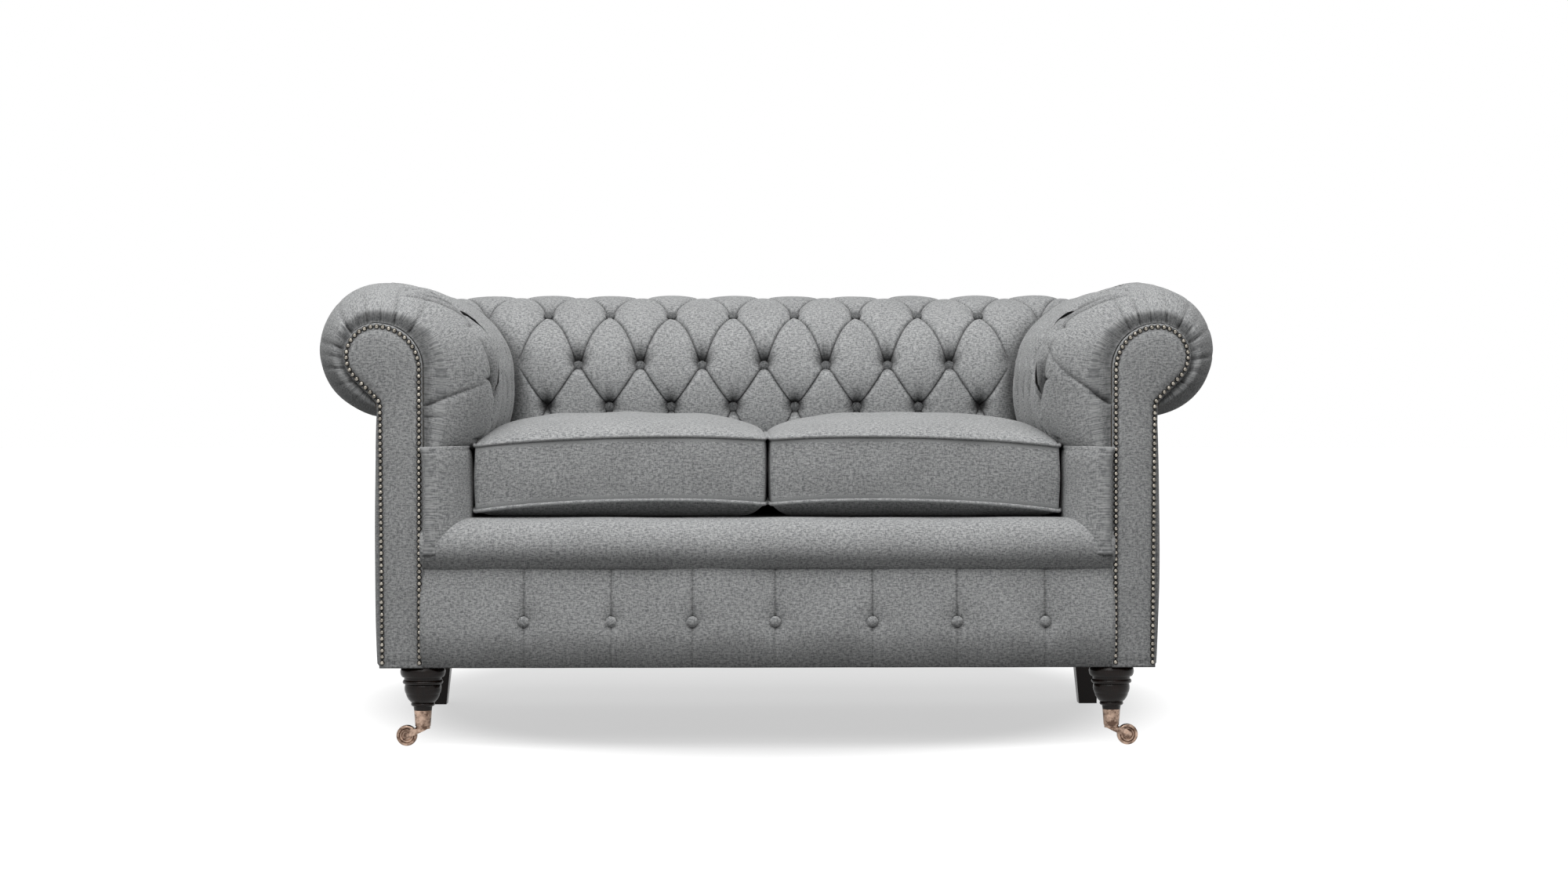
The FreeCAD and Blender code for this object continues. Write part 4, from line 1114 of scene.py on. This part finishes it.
def mix_colour(tree, share, a, b, blend_type="MIX"):
    return node(tree, "Mix", {0: share, 6: a, 7: b}, data_type="RGBA", blend_type=blend_type).outputs[2]


def noise(tree, vector, scale, detail=2.0, rough=0.5):
    inputs = {"Vector": vector, "Scale": scale, "Detail": detail, "Roughness": rough}
    return node(tree, "TexNoise", inputs).outputs[0]


def add_relief(tree, shader, strength, distance, height):
    bump = node(tree, "Bump", {"Strength": strength, "Distance": distance, "Height": height})
    tree.links.new(bump.outputs[0], shader.inputs["Normal"])


def painted_shade_of(tree):
    """Painted shade of a point, read from its hollow attribute: 0 on the open surface, 1 in a fold."""
    return node(tree, "Attribute", attribute_name="hollow").outputs["Fac"]


def stretched(tree, vector, scale, shift=(0, 0, 0)):
    return node(tree, "Mapping", {"Vector": vector, "Scale": scale, "Location": shift}).outputs[0]


def ramp(tree, value, low, high, start=0.0, end=1.0, curve="LINEAR"):
    inputs = {"Value": value, "From Min": low, "From Max": high, "To Min": start, "To Max": end}
    return node(tree, "MapRange", inputs, interpolation_type=curve).outputs[0]


# Share of fleck noise round its middle that runs from the dark yarn to the light one
melange = 0.070
slub_length = 9


def cloth_material(name, dark, light, thread=0.0011, use_painted_shade=False):
    """Woven melange: warp and weft threads of uneven shade, flecks of lighter yarn and a fine relief; where
    asked, painted shade from the hollow attribute.
    """
    material, tree, shader = new_material(name, 0.92)
    shader.inputs["Sheen Weight"].default_value = 0.12
    shader.inputs["Sheen Roughness"].default_value = 0.45
    shader.inputs["Specular IOR Level"].default_value = 0.25
    place = node(tree, "UVMap", uv_map="cloth").outputs[0]
    across, along = 1 / thread, 1 / (thread * slub_length)
    warp = noise(tree, stretched(tree, place, (across, along, 1)), 1.0, 2.0)
    weft = noise(tree, stretched(tree, place, (along, across, 1), (7, 3, 0)), 1.0, 2.0)
    flecks = noise(tree, stretched(tree, place, (175, 330, 1), (1, 5, 0)), 1.0, 3.0, 0.8)
    clouds = noise(tree, stretched(tree, place, (9, 9, 1)), 1.0, 3.0, 0.6)
    mixed = blend(tree, blend(tree, warp, 0.5, weft, 0.5), 0.45, flecks, 0.55)
    colour = mix_colour(tree, ramp(tree, mixed, 0.5 - melange, 0.5 + melange), dark, light)
    shade = ramp(tree, clouds, 0.3, 0.7, 0.93, 1.07)
    # Painted shade: the colour darkens where the hollow attribute marks folds, pits and tucks
    if use_painted_shade:
        shade = math_node(tree, "MULTIPLY", shade, ramp(tree, painted_shade_of(tree), 0.0, 1.0, 1.0, 0.14))
    grey = node(tree, "CombineColor", {0: shade, 1: shade, 2: shade}).outputs[0]
    tree.links.new(mix_colour(tree, 1.0, colour, grey, "MULTIPLY"), shader.inputs["Base Color"])
    add_relief(tree, shader, 0.35, 0.0004, mixed)
    return material


def wood_material(name, dark, light, roughness, coat=0.0, grain=1.0):
    """Grain along Z from stretched noise, with fine pores."""
    material, tree, shader = new_material(name, roughness)
    shader.inputs["Coat Weight"].default_value = coat
    shader.inputs["Specular IOR Level"].default_value = 0.2
    shader.inputs["Coat Roughness"].default_value = 0.12
    place = node(tree, "TexCoord").outputs["Object"]
    rings = noise(tree, stretched(tree, place, (60 * grain, 60 * grain, 6 * grain)), 1.0, 4.0, 0.6)
    pores = noise(tree, stretched(tree, place, (700, 700, 40)), 1.0, 2.0)
    mixed = blend(tree, rings, 0.8, pores, 0.2)
    tree.links.new(mix_colour(tree, ramp(tree, mixed, 0.35, 0.65), dark, light), shader.inputs["Base Color"])
    rough = ramp(tree, pores, 0.3, 0.7, roughness * 0.8, roughness * 1.25)
    tree.links.new(rough, shader.inputs["Roughness"])
    add_relief(tree, shader, 0.15, 0.0003, mixed)
    return material


def metal_material(name, dark, light, roughness, scale=90.0, use_painted_shade=False):
    """Metal with uneven tarnish and faint scratches; where asked, painted shade from the hollow attribute.
    """
    material, tree, shader = new_material(name, roughness, 1.0)
    place = node(tree, "TexCoord").outputs["Object"]
    tarnish = noise(tree, place, scale, 5.0, 0.65)
    scratches = noise(tree, stretched(tree, place, (1800, 250, 250)), 1.0, 2.0)
    colour = mix_colour(tree, ramp(tree, tarnish, 0.38, 0.62), dark, light)
    # Painted shade: near black where the hollow attribute is high, as on the nail rims
    if use_painted_shade:
        colour = mix_colour(tree, painted_shade_of(tree), colour, (0.010, 0.008, 0.006, 1))
    tree.links.new(colour, shader.inputs["Base Color"])
    wear = math_node(tree, "ADD", tarnish, math_node(tree, "MULTIPLY", scratches, 0.3))
    rough = ramp(tree, wear, 0.5, 0.85, roughness * 0.7, roughness * 1.5)
    tree.links.new(rough, shader.inputs["Roughness"])
    add_relief(tree, shader, 0.12, 0.0002, scratches)
    return material


wool = (0.20, 0.206, 0.210, 1), (0.52, 0.525, 0.525, 1)
# Wool darkened as painted shade, for buttons that sit in pits
pit_shaded_wool = (0.075, 0.078, 0.080, 1), (0.21, 0.213, 0.214, 1)
black_lining = (0.008, 0.008, 0.009, 1), (0.025, 0.025, 0.027, 1)
raw_jute = (0.16, 0.10, 0.05, 1), (0.42, 0.30, 0.17, 1)
pale_timber = (0.40, 0.25, 0.12, 1), (0.62, 0.44, 0.25, 1)
stained_timber = (0.004, 0.0022, 0.0018, 1), (0.014, 0.007, 0.005, 1)
aged_brass = (0.10, 0.062, 0.045, 1), (0.50, 0.36, 0.28, 1)
aged_bronze = (0.12, 0.11, 0.095, 1), (0.42, 0.39, 0.34, 1)
dark_steel = (0.10, 0.10, 0.10, 1), (0.32, 0.32, 0.33, 1)
bright_zinc = (0.35, 0.35, 0.34, 1), (0.62, 0.62, 0.60, 1)
woven_strap = (0.20, 0.14, 0.08, 1), (0.42, 0.33, 0.21, 1)

cloth = cloth_material("upholstery_cloth", *wool, use_painted_shade=True)
plain_cloth = cloth_material("panel_cloth", *wool)
# Back and arm buttons: the upholstery wool, darker as painted shade of their pits
button_cloth = cloth_material("button_cloth", *pit_shaded_wool)
lining = cloth_material("lining_cloth", *black_lining, thread=0.0006)
jute = cloth_material("jute_cloth", *raw_jute, thread=0.0016)
beech = wood_material("beech", *pale_timber, 0.6)
dark_wood = wood_material("dark_polished_wood", *stained_timber, 0.28, coat=0.02, grain=2.0)
brass = metal_material("antique_brass", *aged_brass, 0.30)
bronze = metal_material("bronze_nails", *aged_bronze, 0.20, 260.0, use_painted_shade=True)
steel = metal_material("spring_steel", *dark_steel, 0.4)
zinc = metal_material("zinc_steel", *bright_zinc, 0.35)
strap = wood_material("strap_cloth", *woven_strap, 0.9, grain=6.0)


def dress(thing, material, slot_name, body, *replaced):
    thing.data.materials.clear()
    thing.data.materials.append(material)
    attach(thing, body)
    if replaced:
        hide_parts(*replaced)
    return thing


def paint_nodes(material, *names):
    for name in names:
        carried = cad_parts[name]
        for slot in carried.material_slots:
            slot.material = material
        if not carried.material_slots:
            carried.data.materials.append(material)


# The sofa


def pad(thing, fill, *replaced, material=cloth, slot_name="upholstery", body="sofa"):
    dress(thing, material, slot_name, body, *replaced)


def dress_side(side, word):
    cover, buttons = arm_cover(side, word)
    pad(cover, 0.8, "arm_pad_" + word, "arm_front_puff_" + word)
    dress(buttons, button_cloth, "button_cloth", "sofa", "arm_buttons_" + word)
    pad(roll_corner(side, word), 0.8, "roll_corners")
    pad(arm_facing(side, word), 1.0, "arm_facing_" + word, slot_name="facing_cloth")
    dress(facing_nails(side, word), bronze, "antique_brass", "sofa")
    pad(outside_arm(side, word), 0.9, "outside_arm_" + word, material=plain_cloth)
    pad(inside_arm_lower(side, word), 0.9, "inside_arm_lower_" + word, material=plain_cloth)
    case, piping = cushion(side, word)
    pad(case, 0.75, "cushion_cover_" + word, "cushion_foam_" + word, body="cushion_" + word)
    dress(piping, plain_cloth, "upholstery", "cushion_" + word)


def dress_sofa():
    cover, buttons = back_cover()
    pad(cover, 0.8, "inside_back_pad")
    dress(buttons, button_cloth, "button_cloth", "sofa", "back_buttons")
    dress_side(-1, "left")
    dress_side(1, "right")
    pad(outside_back(), 0.9, "outside_back", material=plain_cloth)
    pad(inside_back_lower(), 0.9, "inside_back_lower", material=plain_cloth)
    pad(seat_lip(), 0.8, "seat_lip", material=plain_cloth)
    panel, buttons = front_panel()
    pad(panel, 0.8, "front_panel")
    dress(buttons, plain_cloth, "button_cloth", "sofa", "front_panel_buttons")
    pad(seat_deck(), 0.9, "seat_deck_pad", material=plain_cloth)
    hessian = flat_cloth("seat_hessian_cloth", "seat_hessian")
    dress(hessian, jute, "hessian", "sofa", "seat_hessian")
    dust = flat_cloth("dust_cover_cloth", "dust_cover")
    dress(dust, lining, "lining_cloth", "sofa", "dust_cover")


def paint_frame():
    timber = [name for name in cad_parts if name.endswith("rail") or "_rail_" in name or "post" in name]
    timber += ["seat_centre_brace", "foot_blocks", "back_studs", "arm_studs", "base_tacking_rails"]
    paint_nodes(beech, *sorted(set(timber)))
    paint_nodes(strap, "back_webbing", "arm_webbing")
    paint_nodes(steel, "seat_springs", "spring_clips")
    paint_nodes(zinc, "leg_bolts")
    paint_nodes(dark_wood, "front_leg_left", "front_leg_right", "rear_leg_left", "rear_leg_right")
    castors = [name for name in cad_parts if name.startswith("castor_")]
    paint_nodes(brass, *sorted(castors))
    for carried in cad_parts.values():
        edges = carried.modifiers.new("soft_edges", "BEVEL")
        edges.width = 0.0006
        edges.segments = 1
        edges.limit_method = "ANGLE"
        edges.angle_limit = math.radians(35)


# Camera, floor and light


camera_place = (-0.064, -5.55, 0.585)
camera_lens = 69.97
camera_pitch = 0.921
camera_yaw = 1.017

# Lights: name, place, aim, size and power
lights = [
    ("overhead", (-0.15, -1.1, 3.0), (0, -0.1, 0.4), (3.4, 2.2), 62),
    ("front_fill", (-0.7, -3.6, 2.7), (0, 0, 0.35), (2.4, 1.4), 40),
]

# The floor's glow is weaker in an oval under the sofa: a painted shadow there, which also lets the real
# shadow show, while beyond it the glow whitens the floor, real shadow included, so the shadow stays soft and
# close
glow_scale = (1.25, 0.83, 0)
glow_shift = (0, -0.415, 0)
glow_start, glow_end = 0.76, 1.12
glow_in_painted_shadow = 0.565
floor_half = 30.0
sky_on_sofa, sky_to_camera = 0.30, 1.0


def camera():
    data = bpy.data.cameras.new("camera")
    data.lens = camera_lens
    data.sensor_width = 36.0
    data.clip_end = 100.0
    made = place_in_scene("camera", data)
    made.location = camera_place
    made.rotation_euler = (math.radians(90 - camera_pitch), 0, math.radians(-camera_yaw))
    bpy.context.scene.camera = made


def area_light(name, place, target, size, power):
    data = bpy.data.lights.new(name, "AREA")
    data.shape = "RECTANGLE"
    data.size, data.size_y = size
    data.energy = power
    made = place_in_scene(name, data)
    made.location = place
    made.rotation_euler = (Vector(target) - Vector(place)).to_track_quat("-Z", "Y").to_euler()


def seen_directly(tree):
    """1 for what is seen straight or in a reflection, 0 for light on its way to the sofa."""
    path = node(tree, "LightPath")
    return math_node(tree, "MAXIMUM", path.outputs["Is Camera Ray"], path.outputs["Is Glossy Ray"])


def floor():
    """A pale floor: white when seen, grey to the light that it sends back up, its glow weaker in an oval
    under the sofa as painted shadow.
    """
    corners = [(x * floor_half, y * floor_half, 0) for x, y in ((-1, -1), (1, -1), (1, 1), (-1, 1))]
    made = mesh_object("floor", corners, [(0, 1, 2, 3)])
    material, tree, shader = new_material("floor", 0.9)
    shader.inputs["Specular IOR Level"].default_value = 0.1
    seen = seen_directly(tree)
    colour = mix_colour(tree, seen, (0.08, 0.08, 0.08, 1), (0.30, 0.30, 0.30, 1))
    tree.links.new(colour, shader.inputs["Base Color"])
    oval = stretched(tree, node(tree, "TexCoord").outputs["Object"], glow_scale, glow_shift)
    distance = node(tree, "VectorMath", {0: oval}, operation="LENGTH").outputs["Value"]
    # Glow weaker in the oval under the sofa: painted shadow
    fade = ramp(tree, distance, glow_start, glow_end, glow_in_painted_shadow, 1.0, "SMOOTHSTEP")
    tree.links.new(math_node(tree, "MULTIPLY", fade, seen), shader.inputs["Emission Strength"])
    shader.inputs["Emission Color"].default_value = (1, 1, 1, 1)
    made.data.materials.append(material)


def studio():
    world = bpy.data.worlds.new("studio")
    bpy.context.scene.world = world
    world.use_nodes = True
    tree = world.node_tree
    tree.nodes.clear()
    strength = ramp(tree, seen_directly(tree), 0.0, 1.0, sky_on_sofa, sky_to_camera)
    background = node(tree, "Background", {"Color": (1, 1, 1, 1), "Strength": strength})
    node(tree, "OutputWorld", {0: background.outputs[0]})
    for light in lights:
        area_light(*light)
    floor()


dress_sofa()
paint_frame()
camera()
studio()
bpy.context.scene.view_settings.view_transform = "Standard"
